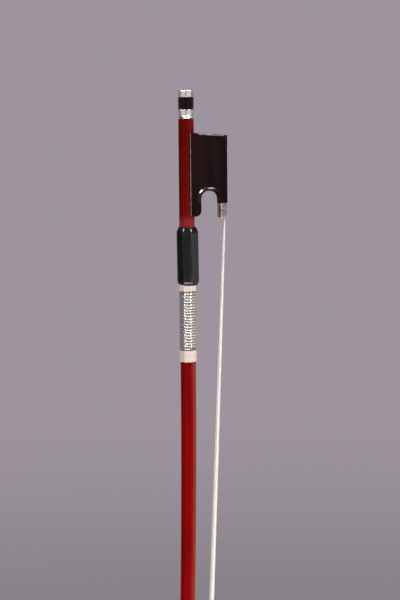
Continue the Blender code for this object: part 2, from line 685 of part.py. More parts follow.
def slide_prism(inner_x, outer_x):
    """A dovetailed strip of the slide between two distances from the stick."""
    section = section_points([(inner_x, slide_half_width(inner_x)), (outer_x, slide_half_width(outer_x))])
    return upright_prism(section, FERRULE_SEAT_Z, HEEL_SOLE_Z - SEAT_GAP)


def ferrule_loop(inset):
    """The ferrule's D section: flat on the hair side, straight walls, and an arch next to the throat."""
    half = FERRULE_HALF_WIDTH - inset
    bottom = FERRULE_BOTTOM_X - inset
    spring = FERRULE_TOP_X + FERRULE_ARCH_RISE
    rise = FERRULE_ARCH_RISE - inset
    points = [(bottom, half)]
    for i in range(ARCH_STEPS + 1):
        angle = math.pi * i / ARCH_STEPS
        points.append((spring - rise * math.sin(angle), half * math.cos(angle)))
    return points + [(bottom, -half)]


def tongue_prism():
    """The ebony tongue that the ferrule slides over: the ferrule's arch, cut flat above the hair."""
    inset = FERRULE_WALL + SEAT_GAP
    half = FERRULE_HALF_WIDTH - inset
    spring = FERRULE_TOP_X + FERRULE_ARCH_RISE
    rise = FERRULE_ARCH_RISE - inset
    face = CHANNEL_FLOOR_X - FACE_STEP
    start = math.asin(min(max((spring - face) / rise, 0.0), 1.0))
    section = []
    for i in range(ARC_STEPS + 1):
        angle = start + (math.pi - 2 * start) * i / ARC_STEPS
        section.append((spring - rise * math.sin(angle), half * math.cos(angle)))
    if face > spring + FACE_STEP:
        section = [(face, half)] + section + [(face, -half)]
    return upright_prism(section, FERRULE_FRONT_Z + 3 * SEAT_GAP, FERRULE_SEAT_Z + JOINT_OVERLAP)


def heel_outline(inset):
    """The heel plate's L from the side, or with an inset the seat that the frog has for it."""
    inner = HEEL_THICKNESS + inset
    start = HEEL_BACK_START_X - inset
    sole_x = FROG_BOTTOM_X - inner
    back = [(start, frog_back_z(start) - inner), (sole_x, frog_back_z(sole_x) - inner)]
    outer_x = FROG_BOTTOM_X + BLOCK_SPARE
    above = BLOCK_SPARE if inset else 0.0
    sole = [(sole_x, HEEL_SOLE_Z - inset), (outer_x, HEEL_SOLE_Z - inset)]
    return back + sole + [(outer_x, frog_back_z(outer_x) + above), (start, frog_back_z(start) + above)]


def pin_places():
    """Heel pins as (name, centre, direction): a pair on the back and a pair on the sole."""
    back_x = (HEEL_BACK_START_X + FROG_BOTTOM_X) / 2
    sole_z = HEEL_SOLE_Z + HEEL_SOLE_LENGTH / 3
    places = []
    for number, sign in enumerate((-1, 1), start=1):
        x = back_x + sign * BACK_PIN_SPREAD / 2
        top = frog_back_z(x + PIN_RADIUS) - SEAT_GAP / 5
        places.append((f"heel_back_pin_{number}", (x, 0.0, top), "-Z"))
    for number, sign in enumerate((-1, 1), start=1):
        y = sign * SOLE_PIN_SPREAD / 2
        places.append((f"heel_sole_pin_{number}", (FROG_BOTTOM_X - SEAT_GAP / 5, y, sole_z), "-X"))
    return places


def lining_screw_places():
    """The middle of each of the two screws that hold the silver lining in the saddle."""
    return [FROG_FRONT_Z + LINING_SCREW_INSET, FROG_BACK_Z - LINING_SCREW_SETBACK]


def make_frog(parent):
    """The ebony frog: saddle, cheeks, throat, tongue, hair channel, mortise and heel seat."""
    frog = add_object("frog", frog_block(), "ebony", parent)
    use(frog, frog_front_cutter())
    use(frog, frog_back_cutter())
    for side in (-1, 1):
        use(frog, throat_edge_cutter(side))
    use(frog, add_object("tongue_joiner", tongue_prism()), "UNION")
    use(frog, channel_cutter())
    floor = CHANNEL_FLOOR_X - FROG_MORTISE_DEPTH
    outline = [(floor, MORTISE_FRONT_Z), (FROG_BOTTOM_X - HEEL_THICKNESS, MORTISE_FRONT_Z)]
    outline += [(FROG_BOTTOM_X - HEEL_THICKNESS, MORTISE_BACK_Z), (floor, MORTISE_BACK_Z)]
    use(frog, add_object("frog_mortise_cutter", side_prism(outline, FROG_MORTISE_HALF_WIDTH)))
    use(frog, add_object("heel_seat_cutter", side_prism(heel_outline(SEAT_GAP), BEYOND)))
    shank_radius = EYELET_SHANK_RADIUS + SEAT_GAP
    shank_bm = rod((0.0, 0.0, EYELET_Z), "+X", shank_radius, EYELET_SHANK_REACH + SEAT_GAP)
    use(frog, add_object("eyelet_hole_cutter", shank_bm))
    hole_radius = LINING_SCREW_RADIUS + PIN_CLEARANCE
    for number, z in enumerate(lining_screw_places(), start=1):
        hole = rod((0.0, 0.0, z), "+X", hole_radius, SADDLE_HALF + LINING_SCREW_LENGTH)
        use(frog, add_object(f"lining_screw_cutter_{number}", hole))
    for name, centre, direction in pin_places():
        use(frog, pin_hole(name, centre, direction))


def pin_hole(name, centre, direction):
    """The cutter for one heel pin's hole, which starts outside the plate."""
    found = bpy.data.objects.get(name + "_cutter")
    if found:
        return found
    x, y, z = centre
    start = (x, y, z + JOINT_OVERLAP) if direction == "-Z" else (x + JOINT_OVERLAP, y, z)
    depth = JOINT_OVERLAP + PIN_LENGTH + SEAT_GAP
    return add_object(name + "_cutter", rod(start, direction, PIN_RADIUS + PIN_CLEARANCE, depth))


def make_heel(parent):
    """The silver heel plate, an L that wraps the frog's lower back corner, and its four pins."""
    heel = add_object("heel_plate", frog_block(), "silver", parent)
    use(heel, add_object("heel_outline_cutter", side_prism(heel_outline(0.0), BEYOND)), "INTERSECT")
    for name, centre, direction in pin_places():
        use(heel, pin_hole(name, centre, direction))
        add_object(name, rod(centre, direction, PIN_RADIUS, PIN_LENGTH), "silver", parent)


def lining_loop(half):
    """One face of the lining: the stick's three hair-side facets at this distance from the axis."""
    corner = half * HALF_FACET
    rim = half + corner - FROG_TOP_X
    return [(FROG_TOP_X, rim), (half, corner), (half, -corner), (FROG_TOP_X, -rim)]


def make_lining(parent):
    """The silver lining between the frog and the stick, and the two screws that hold it."""
    section = lining_loop(LINING_OUTER) + lining_loop(LINING_INNER)[::-1]
    low = FROG_FRONT_Z
    high = frog_back_z(FROG_TOP_X) - SEAT_GAP
    lining = add_object("frog_lining", upright_prism(section, low, high), "silver", parent)
    shank_bm = rod((0.0, 0.0, EYELET_Z), "+X", EYELET_SHANK_RADIUS + SEAT_GAP, SADDLE_HALF)
    use(lining, add_object("lining_eyelet_cutter", shank_bm))
    for number, z in enumerate(lining_screw_places(), start=1):
        hole = rod((0.0, 0.0, z), "+X", LINING_SCREW_HEAD_RADIUS + PIN_CLEARANCE, SADDLE_HALF)
        use(lining, add_object(f"lining_head_cutter_{number}", hole))
        make_lining_screw(f"lining_screw_{number}", z, parent)


def make_lining_screw(name, z, parent):
    """A small flat-headed screw, its head level with the lining's inner face."""
    head_x = LINING_INNER + SEAT_GAP / 5
    profile = [(head_x, LINING_SCREW_HEAD_RADIUS), (LINING_OUTER, LINING_SCREW_HEAD_RADIUS)]
    profile += [(LINING_OUTER, LINING_SCREW_RADIUS)]
    profile += [(SADDLE_HALF + LINING_SCREW_LENGTH - SEAT_GAP, LINING_SCREW_RADIUS)]
    angles = [math.pi * (2 * i + 1) / ROD_STEPS for i in range(ROD_STEPS)]
    rings = [[(x, r * math.cos(a), z + r * math.sin(a)) for a in angles] for x, r in profile]
    add_object(name, loft(rings), "silver", parent)


def make_eyelet(parent):
    """The brass eyelet: a threaded ring round the screw, on a shank that is screwed into the frog."""
    low = EYELET_Z - EYELET_LENGTH / 2
    high = EYELET_Z + EYELET_LENGTH / 2
    eyelet = add_object("eyelet", upright_prism(circle(EYELET_RADIUS), low, high), "brass", parent)
    shank_length = EYELET_SHANK_REACH - SCREW_RADIUS
    shank_bm = rod((SCREW_RADIUS, 0.0, EYELET_Z), "+X", EYELET_SHANK_RADIUS, shank_length)
    use(eyelet, add_object("eyelet_shank_joiner", shank_bm), "UNION")
    hole_bm = upright_prism(circle(SCREW_RADIUS + THREAD_CLEARANCE), low - SEAT_GAP, high + SEAT_GAP)
    use(eyelet, add_object("eyelet_thread_cutter", hole_bm))


def make_ferrule(parent):
    """The silver ferrule, a D-shaped ring that keeps the hair flat where it leaves the frog."""
    outside = [at_height(ferrule_loop(0.0), z) for z in (FERRULE_FRONT_Z, FERRULE_BACK_Z)]
    inside = [at_height(ferrule_loop(FERRULE_WALL), z) for z in (FERRULE_FRONT_Z, FERRULE_BACK_Z)]
    add_object("ferrule", tube(outside, inside), "silver", parent)


def make_frog_fittings(parent):
    """What the frog holds on its hair side: pearl slide, backing, wedge, plug and the hair's tied end."""
    pearl_inner = FROG_BOTTOM_X - PEARL_THICKNESS
    backing_outer = pearl_inner - SEAT_GAP
    backing_inner = max(backing_outer - SLIDE_BACKING_THICKNESS, SLIDE_INNER_X)
    add_object("pearl_slide", slide_prism(pearl_inner, FROG_BOTTOM_X), "pearl", parent)
    add_object("slide_backing", slide_prism(backing_inner, backing_outer), "ebony", parent)
    wedge_low = FERRULE_FRONT_Z + SEAT_GAP
    wedge_x = HAIR_MOUTH_X - HAIR_END_THICKNESS / 2 - SEAT_GAP - WEDGE_THICKNESS
    wide = HAIR_FROG_HALF_WIDTH
    section = section_points([(wedge_x, wide), (wedge_x + WEDGE_THICKNESS, wide)])
    wedge_bm = upright_prism(section, wedge_low, wedge_low + WEDGE_LENGTH)
    add_object("spread_wedge", wedge_bm, "maple", parent)
    floor = CHANNEL_FLOOR_X - FROG_MORTISE_DEPTH + SEAT_GAP
    half = FROG_MORTISE_HALF_WIDTH - SEAT_GAP
    knot = FROG_KNOT_THICKNESS
    knot_z = MORTISE_BACK_Z - SEAT_GAP - knot / 2
    plug = [(floor, MORTISE_FRONT_Z + SEAT_GAP), (CHANNEL_FLOOR_X, MORTISE_FRONT_Z + SEAT_GAP)]
    plug += [(CHANNEL_FLOOR_X, knot_z - knot / 2 - SEAT_GAP), (floor, knot_z - knot / 2 - SEAT_GAP)]
    add_object("frog_plug", side_prism(plug, half), "maple", parent)
    add_object("frog_hair_knot", strap(frog_hair_path(floor, half, knot, knot_z)), "horsehair", parent)


def frog_hair_path(floor, half, knot, knot_z):
    """The hair inside the frog: in at the ferrule, under the slide, over the plug, down to its knot."""
    thick = HAIR_END_THICKNESS
    wedge_back_z = FERRULE_FRONT_Z + 2 * SEAT_GAP + WEDGE_LENGTH
    path = [(HAIR_MOUTH_X, FERRULE_FRONT_Z, HAIR_FROG_HALF_WIDTH, thick)]
    path += [(HAIR_MOUTH_X, wedge_back_z, HAIR_FROG_HALF_WIDTH, thick)]
    path += [(HAIR_CHANNEL_X, FERRULE_SEAT_Z - SEAT_GAP, half, thick)]
    bend = knot / 2
    path += [(HAIR_CHANNEL_X, knot_z - bend, half, thick)]
    for i in range(1, KNOT_STEPS + 1):
        turn = math.pi / 2 * i / KNOT_STEPS
        wide = thick + (knot - thick) * (i / KNOT_STEPS) ** 2 / 2
        x = HAIR_CHANNEL_X - bend * (1 - math.cos(turn))
        path.append((x, knot_z - bend * (1 - math.sin(turn)), half, wide))
    path += [(CHANNEL_FLOOR_X - FROG_MORTISE_DEPTH / 2, knot_z, half, knot)]
    path += [(floor, knot_z, half, knot)]
    return path


def make_screw(parent):
    """The steel screw: shank in the button, thread along the handle, and a pilot at its end."""
    low = STICK_END_Z - SCREW_REACH
    top = CAP_Z + BUTTON_CAP_LENGTH - CAP_END_THICKNESS - SEAT_GAP
    pilot = SCREW_PILOT_RADIUS
    ease = pilot / 2
    pilot_z = low + SCREW_PILOT_LENGTH
    profile = [(ease, low), (pilot, low + ease), (pilot, pilot_z), (SCREW_RADIUS, pilot_z + ease)]
    profile += [(SCREW_RADIUS, top - ease), (pilot, top)]
    rings = [at_height(circle(radius), z) for radius, z in profile]
    add_object("adjuster_screw", loft(rings), "steel", parent)


def make_button(parent):
    """The button in three: ebony core with its band, silver cap at the end, silver collar at the stick."""
    full = octagon(BUTTON_WIDTH, BUTTON_TURN)
    edge = octagon(BUTTON_WIDTH - 2 * BUTTON_CHAMFER, BUTTON_TURN)
    spigot = circle(BUTTON_SPIGOT_RADIUS)
    hole = SCREW_RADIUS + SEAT_GAP
    cap_floor = CAP_Z + BUTTON_CAP_LENGTH - CAP_END_THICKNESS
    band_bm = upright_prism(full, BAND_Z, BAND_Z + BUTTON_BAND_LENGTH)
    core = add_object("button_core", band_bm, "ebony", parent)
    spigot_low = COLLAR_Z + NIPPLE_LENGTH + 2 * SEAT_GAP
    spigot_bm = upright_prism(spigot, spigot_low, cap_floor - SEAT_GAP)
    use(core, add_object("core_spigot_joiner", spigot_bm), "UNION")
    use(core, add_object("core_bore_cutter", upright_prism(circle(hole), COLLAR_Z, BUTTON_END_Z)))
    cap_rings = [at_height(full, CAP_Z), at_height(full, BUTTON_END_Z - BUTTON_CHAMFER)]
    cap_rings += [at_height(edge, BUTTON_END_Z)]
    cap = add_object("button_cap", loft(cap_rings), "silver", parent)
    pocket = circle(BUTTON_SPIGOT_RADIUS + SEAT_GAP)
    use(cap, add_object("cap_pocket_cutter", upright_prism(pocket, CAP_Z - SEAT_GAP, cap_floor)))
    collar_rings = [at_height(edge, COLLAR_Z), at_height(full, COLLAR_Z + BUTTON_CHAMFER)]
    collar_rings += [at_height(full, COLLAR_Z + BUTTON_COLLAR_LENGTH)]
    collar = add_object("button_collar", loft(collar_rings), "silver", parent)
    collar_hole = upright_prism(pocket, COLLAR_Z - SEAT_GAP, BAND_Z)
    use(collar, add_object("collar_bore_cutter", collar_hole))


def rounded_octagon(half, sharpness, steps=LEATHER_STEPS):
    """An octagon with softened corners: sharpness 1 keeps them, 0 gives a circle."""
    points = []
    for i in range(steps):
        angle = math.pi * (2 * i + 1) / steps
        off = (angle + math.pi / 8) % (math.pi / 4) - math.pi / 8
        radius = half * (1.0 + sharpness * (1.0 / math.cos(off) - 1.0))
        points.append((radius * math.cos(angle), radius * math.sin(angle)))
    return points


def make_leather():
    """The thumb leather: a sleeve round the octagon with pared, rounded ends."""
    inner_half = HANDLE_HALF + WRAP_GAP
    thin = LEATHER_EDGE_THICKNESS
    full = LEATHER_WIDTH / 2 - inner_half
    low = LEATHER_TOP_Z - LEATHER_LENGTH
    outside = []
    for i in range(SKIVE_STEPS + 1):
        turn = math.pi / 2 * i / SKIVE_STEPS
        half = inner_half + thin + (full - thin) * math.sin(turn)
        sharp = 1.0 - LEATHER_SOFTENING * math.sin(turn)
        outside.append((half, LEATHER_TOP_Z - LEATHER_SKIVE * (1 - math.cos(turn)), sharp))
    mirrored = [(half, LEATHER_TOP_Z + low - z, sharp) for half, z, sharp in reversed(outside)]
    rings_out = [at_height(rounded_octagon(half, sharp), z) for half, z, sharp in outside + mirrored]
    rings_in = [at_height(rounded_octagon(inner_half, 1.0), z) for z in (LEATHER_TOP_Z, low)]
    add_object("thumb_leather", tube(rings_out, rings_in), "black_leather")


def make_band(name, top, length):
    """A band of cream silk whipping round the octagon, eased at both ends."""
    inner = HANDLE_WIDTH + 2 * WRAP_GAP
    outer = inner + 2 * BAND_THICKNESS
    ease = BAND_THICKNESS / 2
    low = top - length
    outside = [(outer - ease, top), (outer, top - ease), (outer, low + ease), (outer - ease, low)]
    rings_out = [at_height(octagon(width), z) for width, z in outside]
    rings_in = [at_height(octagon(inner), z) for z in (top, low)]
    add_object(name, tube(rings_out, rings_in), "cream_silk")


def winding_pitch():
    """The rise of one turn, so that the turns fill the space between the two cream bands."""
    return (WIRE_LENGTH - TINSEL_WIDTH - 2 * SEAT_GAP) / WINDING_TURNS


def winding_angles(turns):
    """Angles of a winding's points: each loop has a point on every corner of the octagon."""
    count = int(round(turns * LOOP_STEPS))
    return [2 * math.pi * (i / LOOP_STEPS) + math.pi / 8 for i in range(count + 1)]


def flat_radius(half, angle):
    """The distance from the axis to an octagon's side in the direction of an angle."""
    off = (angle + math.pi / 8) % (math.pi / 4) - math.pi / 8
    return half / math.cos(off)


def winding_ring(angle, z, profile):
    """A strip's section at one angle: profile gives (distance from the stick's flat, shift along z)."""
    ring = []
    for out, shift in profile:
        radius = flat_radius(HANDLE_HALF + WRAP_GAP + out, angle)
        ring.append((radius * math.cos(angle), radius * math.sin(angle), z + shift))
    return ring


def least_gap(rings, width):
    """The least clear distance along the stick between points one turn apart."""
    heights = [sum(point[2] for point in ring) / len(ring) for ring in rings]
    return min(a - b for a, b in zip(heights, heights[LOOP_STEPS:])) - width


def make_winding():
    """Silver tinsel wound in one flat strip, with a silk thread laid between its turns."""
    pitch = winding_pitch()
    top = WIRE_Z - SEAT_GAP - TINSEL_WIDTH / 2
    half = TINSEL_WIDTH / 2
    strip = [(0.0, -half), (TINSEL_THICKNESS, -half), (TINSEL_THICKNESS, half), (0.0, half)]
    first = winding_angles(WINDING_TURNS)
    rings = [winding_ring(a, top - pitch * i / LOOP_STEPS, strip) for i, a in enumerate(first)]
    add_object("silver_winding", loft(rings), "silver")
    print("least gap between the silver turns, mm:", round(least_gap(rings, TINSEL_WIDTH) * 1000, 3))
    thread = THREAD_WIDTH / 2
    round_thread = [(0.0, -thread), (THREAD_WIDTH, 0.0), (0.0, thread)]
    second = winding_angles(WINDING_TURNS - 1)
    start = top - pitch / 2
    rings = [winding_ring(a, start - pitch * i / LOOP_STEPS, round_thread) for i, a in enumerate(second)]
    add_object("silk_thread", loft(rings), "grey_silk")
    print("least gap between the silk turns, mm:", round(least_gap(rings, THREAD_WIDTH) * 1000, 3))


def make_mover(name):
    """An empty on the stick's axis that carries the pieces of one moving group."""
    mover = bpy.data.objects.new(name, None)
    bpy.context.scene.collection.objects.link(mover)
    return mover


def build():
    """Makes the whole bow: what stays on the stick, what turns, and what slides."""
    clear_scene()
    mortise = head_mortise_cutter()
    make_stick(mortise)
    make_face_plates(mortise)
    make_head_fixings()
    make_hair()
    make_leather()
    make_band("rear_silk_band", REAR_BAND_Z, REAR_BAND_LENGTH)
    make_band("front_silk_band", FRONT_BAND_Z, FRONT_BAND_LENGTH)
    make_winding()
    turning = make_mover("screw_turns")
    make_screw(turning)
    make_button(turning)
    sliding = make_mover("frog_slides")
    make_frog(sliding)
    make_heel(sliding)
    make_lining(sliding)
    make_eyelet(sliding)
    make_ferrule(sliding)
    make_frog_fittings(sliding)


build()
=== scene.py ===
"""The finished surfaces of a violin bow, made round its packed construction model.

The bow is upright: +Z runs up the handle to the button, +X from the stick to the hair, and the
origin is on the stick's axis where the hand holds it. Every length is in metres.
"""
import math

import bmesh
import bpy
import numpy as np
from mathutils import Matrix, Vector


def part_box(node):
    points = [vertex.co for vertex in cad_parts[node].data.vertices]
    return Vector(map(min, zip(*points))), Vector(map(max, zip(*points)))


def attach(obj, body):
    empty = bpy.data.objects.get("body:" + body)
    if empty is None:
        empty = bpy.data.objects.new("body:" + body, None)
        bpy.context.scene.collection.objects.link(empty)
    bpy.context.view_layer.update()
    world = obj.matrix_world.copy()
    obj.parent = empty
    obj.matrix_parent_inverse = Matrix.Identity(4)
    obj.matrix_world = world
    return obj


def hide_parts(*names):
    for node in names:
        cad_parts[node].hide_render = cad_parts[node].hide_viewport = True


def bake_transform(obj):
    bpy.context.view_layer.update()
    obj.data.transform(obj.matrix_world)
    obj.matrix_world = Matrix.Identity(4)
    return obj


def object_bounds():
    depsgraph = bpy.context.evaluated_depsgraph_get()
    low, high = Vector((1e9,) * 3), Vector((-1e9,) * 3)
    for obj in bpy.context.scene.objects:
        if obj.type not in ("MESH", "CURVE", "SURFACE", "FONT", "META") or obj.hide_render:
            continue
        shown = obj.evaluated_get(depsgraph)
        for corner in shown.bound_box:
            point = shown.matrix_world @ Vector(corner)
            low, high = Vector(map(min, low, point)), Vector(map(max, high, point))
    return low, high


bl_info = {
    "name": "Violin Bow",
    "version": (1, 0, 0),
    "blender": (4, 5, 0),
    "location": "3D View > Sidebar > Bow",
    "description": "Builds the stick, frog, button, wrappings and hair of a violin bow",
    "category": "Add Mesh",
}

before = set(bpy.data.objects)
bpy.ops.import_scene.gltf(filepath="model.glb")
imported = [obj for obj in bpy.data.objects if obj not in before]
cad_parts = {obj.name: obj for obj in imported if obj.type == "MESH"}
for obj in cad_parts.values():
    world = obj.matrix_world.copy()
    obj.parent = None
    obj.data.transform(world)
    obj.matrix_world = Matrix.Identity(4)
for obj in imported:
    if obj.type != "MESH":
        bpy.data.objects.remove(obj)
CAD_LOW, CAD_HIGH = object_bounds()

# Boxes of the construction model's pieces
PLATE_LOW, PLATE_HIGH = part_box("head_face_plate")
PLUG_LOW, PLUG_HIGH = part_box("head_plug")
KNOT_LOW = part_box("head_hair_knot")[0]
HAIR_LOW, HAIR_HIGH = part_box("hair")
SCREW_LOW, SCREW_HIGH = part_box("adjuster_screw")
EYELET_LOW, EYELET_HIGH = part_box("eyelet")
HEEL_LOW, HEEL_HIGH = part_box("heel_plate")
LINING_LOW, LINING_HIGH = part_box("frog_lining")
FERRULE_LOW, FERRULE_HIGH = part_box("ferrule")
LEATHER_LOW, LEATHER_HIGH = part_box("thumb_leather")
REAR_LOW, REAR_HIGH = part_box("rear_silk_band")
FRONT_LOW, FRONT_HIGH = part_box("front_silk_band")
WIRE_LOW, WIRE_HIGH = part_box("silver_winding")
COLLAR_LOW, COLLAR_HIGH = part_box("button_collar")
CAP_LOW, CAP_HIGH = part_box("button_cap")

# The play that the construction model leaves round a seated piece, how far a cutter stands out of
# what it cuts, and a place on X that lies outside the stick and its head
SEAT_GAP = 0.00025
CLEAR = 0.01
OUTSIDE_X = 0.01

# Stick: an octagon that tapers by a power, its centreline a parabola from CAMBER_Z to the head
FACET = math.tan(math.pi / 8)
HANDLE_HALF = 0.00434
NECK_HALF = 0.0027
TAPER_POWER = 1.7
CAMBER_DEPTH = 0.026
CAMBER_Z = FRONT_LOW.z
STICK_END_Z = COLLAR_LOW.z - SEAT_GAP
END_EASE = 0.0003
END_SHARE = 0.95
HANDLE_START = 0.0008
BORE_PLAY = 0.0004
EYELET_ROOM_BELOW = 0.0040
EYELET_ROOM_ABOVE = 0.0050

# Head
HEAD_REAR_Z = PLATE_HIGH.z
BEAK_Z = PLATE_LOW.z
THROAT_SWEEP = 0.0150
WOOD_SETBACK = 0.0022
CREST_HALF_WIDTH = 0.0007
PLATE_HALF_WIDTH = 0.0051
BEAK_HALF_WIDTH = 0.0008
PLATE_POINTEDNESS = 2.3
CHEEK_POWER = 1.1
CHEEK_SHARES = (0.25, 0.5, 0.72, 0.9, 1.0)
CREST_SHARE = 0.12
SHOULDER_SHARE = 0.6
NOSE_SETBACK = 0.0045
NOSE_POWER = 2.0
BEAK_RISE = 0.0012
BEAK_THICKNESS = 0.0012

# Hair: its ends and swell, then how much of the ribbon the hairs and the core fill
HAIR_END_THICKNESS = 0.0011
HAIR_SWELL = 0.0020
HAIR_SWELL_POWER = 0.8
HAIR_BEND = 0.0011
HAIR_ROWS = 46
HAIR_LAP = 0.0001
HAIR_WANDER_X = 0.06
HAIR_WANDER_Y = 0.012
HAIR_REACH_X = 0.42
HAIR_REACH_Y = 0.97
CORE_REACH_X = 0.46
CORE_REACH_Y = 0.95
CORE_FLUTES = 13.0
CORE_FLUTE_DEPTH = 0.04
FERRULE_WALL = 0.00045
HEAD_DROP = 0.0200
HAIR_MOUTH_X = FERRULE_HIGH.x - FERRULE_WALL - SEAT_GAP - HAIR_END_THICKNESS / 2
HAIR_REAR_X = HEAD_DROP - CAMBER_DEPTH + SEAT_GAP + HAIR_END_THICKNESS / 2

# Frog: the throat's arc and the steps (depth, growth) by which its edge widens, the cheeks' spread,
# the heel plate's borders and the lining's lip
THROAT_X = 0.0126
THROAT_Z = 0.01285
THROAT_RADIUS = 0.00437
THROAT_PROFILE = ((0.00030, 0.0024), (0.00070, 0.0015), (0.0014, 0.0007), (0.00215, 0.0003),
                  (0.0036, 0.0))
THROAT_OUTER_SLOPE = 0.45
THROAT_OUTSIDE = -0.0009
THROAT_OVERLAP = 0.00002
THROAT_LEFT_END = math.radians(212.0)
THROAT_LEFT_FADE = math.radians(62.0)
THROAT_RIGHT_END = math.radians(-8.0)
THROAT_RIGHT_FADE = math.radians(55.0)
THROAT_LEG_SHARE = 0.12
THROAT_FOOT_Z = LINING_LOW.z - 0.002
CHEEK_HALF_WIDTH = 0.00531
CHEEK_START_X = 0.0026
CHEEK_SPREAD = 3.55
ARCH_RISE = 0.0020
HEEL_BORDER_Y = 0.0056
HEEL_SPREAD = 0.02
HEEL_LEG = 0.0016
HEEL_RETURN = 0.0007
LIP_INNER_Y = 0.0043
LIP_OUTER_Y = 0.00517
LIP_THICKNESS = 0.00036
LIP_SETBACK = 0.0002

# Button
BUTTON_HALF = (CAP_HIGH.y - CAP_LOW.y) / 2 * math.cos(math.pi / 8)
BUTTON_CORNER = 0.0003
CAP_DOME = 0.0008
RIM_EASE = 0.00012
BAND_EASE = 0.0001
BEAD_HEIGHT = 0.0019
BEAD_INSET = 0.00045
BEAD_SWELL = 0.0006

# Thumb leather
LEATHER_LAP = 0.0012
LEATHER_OUTER = LEATHER_HIGH.x + 0.0001
LEATHER_INNER = HANDLE_HALF + 0.0002
LEATHER_INNER_CORNER = 0.0006
LEATHER_END_CORNER = 0.0010
LEATHER_CORNER_GAIN = 0.0014
LEATHER_SHIFT = 0.00015
LEATHER_LEAN = 0.0003
LEATHER_EDGE = 0.00035
LEATHER_UPPER_PARE = 0.0030
LEATHER_LOWER_PARE = 0.0024
PARE_POWER = 1.4
SEAM_ANGLE = 2.4
SEAM_WIDTH = 0.00018
SEAM_DEPTH = 0.00014

# Cream silk bands, then the silver strip, the silk thread between its turns and the layer below
SILK_CORNER = 0.0009
SILK_RIDGE = 0.00002
SILK_RIDGE_POWER = 0.7
SILK_END_DROP = 0.00010
SILK_INNER = HANDLE_HALF + 0.0001
SILK_INNER_CORNER = 0.0004
STRIP_FLOOR = HANDLE_HALF + 0.00012
STRIP_STEPS = 72
STRIP_WIDTH = 0.00111
STRIP_HEIGHT = 0.00031
STRIP_START = math.radians(250.0)
STRIP_CORNER = 0.0008
STRIP_BASE = -0.00004
CROWN_POWER = 0.6
THREAD_HEIGHT = 0.00018
THREAD_PLAY = 0.00002
THREAD_LEAD = 0.96
THREAD_DROP = 0.00003
LAYER_OUTER = HANDLE_HALF + 0.00014
LAYER_OUTER_CORNER = 0.0006
LAYER_INNER = HANDLE_HALF + 0.00003
LAYER_INNER_CORNER = 0.0005
LAYER_LAP = 0.0002
LAYER_SHOULDER = 0.00015

# Camera, floor and lamps; a lamp is its name, azimuth in degrees, height, size and power
CAMERA_AZIMUTH = math.radians(-0.25)
CAMERA_ELEVATION = math.radians(7.5)
CAMERA_ROLL = math.radians(-0.50)
CAMERA_TARGET = (0.00696, 0.0, -0.0446)
FOCAL_PIXELS_A_METRE = 1772.5
FRAME_HEIGHT = 600
FLOOR_DROP = 0.02
FLOOR_RADIUS = 0.42
LAMP_DISTANCE = 1.0
FILL_LEVEL = 0.42
LAMPS = (
    ("lamp_low_right", 43.0, -0.85, (0.20, 0.22), 6.0),
    ("lamp_low_left", -20.0, -1.20, (0.55, 0.17), 5.5),
    ("lamp_high_right", 42.0, 0.75, (0.14, 0.15), 4.2),
    ("lamp_high_left", -42.0, 0.75, (0.14, 0.15), 3.0),
    ("panel_right", 46.0, -0.12, (0.12, 0.80), 0.36),
    ("panel_left", -46.0, -0.12, (0.12, 0.80), 0.42),
    ("side_right", 89.0, -0.185, (0.50, 0.15), 1.50),
    ("glint_low_right", 43.0, -0.85, (0.32, 0.34), 26.0),
    ("glint_low_left", -20.0, -1.20, (0.62, 0.27), 31.0),
    ("glint_high_right", 42.0, 0.75, (0.34, 0.34), 12.0),
    ("glint_high_left", -42.0, 0.75, (0.34, 0.34), 12.0),
)


class BowSizes(bpy.types.PropertyGroup):
    """Sizes that the finished surfaces add to the construction model."""

    corner: bpy.props.FloatProperty(
        name="Facet rounding", description="How far the octagon's corners are eased",
        default=0.00042, min=0.0, subtype="DISTANCE", unit="LENGTH")
    leather_scale: bpy.props.FloatProperty(
        name="Leather scale", description="Distance between the scales of the leather",
        default=0.00075, min=0.0002, subtype="DISTANCE", unit="LENGTH")
    leather_relief: bpy.props.FloatProperty(
        name="Leather relief", description="Height of the leather's scales",
        default=0.00007, min=0.0, subtype="DISTANCE", unit="LENGTH")
    silk_pitch: bpy.props.FloatProperty(
        name="Silk thread", description="Width of one thread of the cream silk bands",
        default=0.00026, min=0.0001, subtype="DISTANCE", unit="LENGTH")
    winding_turns: bpy.props.FloatProperty(
        name="Winding turns", description="Turns of the silver strip", default=20.1, min=2.0)
    hair_count: bpy.props.IntProperty(
        name="Hairs", description="How many hairs the ribbon shows", default=230, min=20, max=400)
    hair_radius: bpy.props.FloatProperty(
        name="Hair radius", description="Half the thickness of one hair",
        default=0.00011, min=0.00005, subtype="DISTANCE", unit="LENGTH")
    camera_distance: bpy.props.FloatProperty(
        name="Camera distance", description="From the camera to the point that it looks at",
        default=1.35, min=0.3, subtype="DISTANCE", unit="LENGTH")


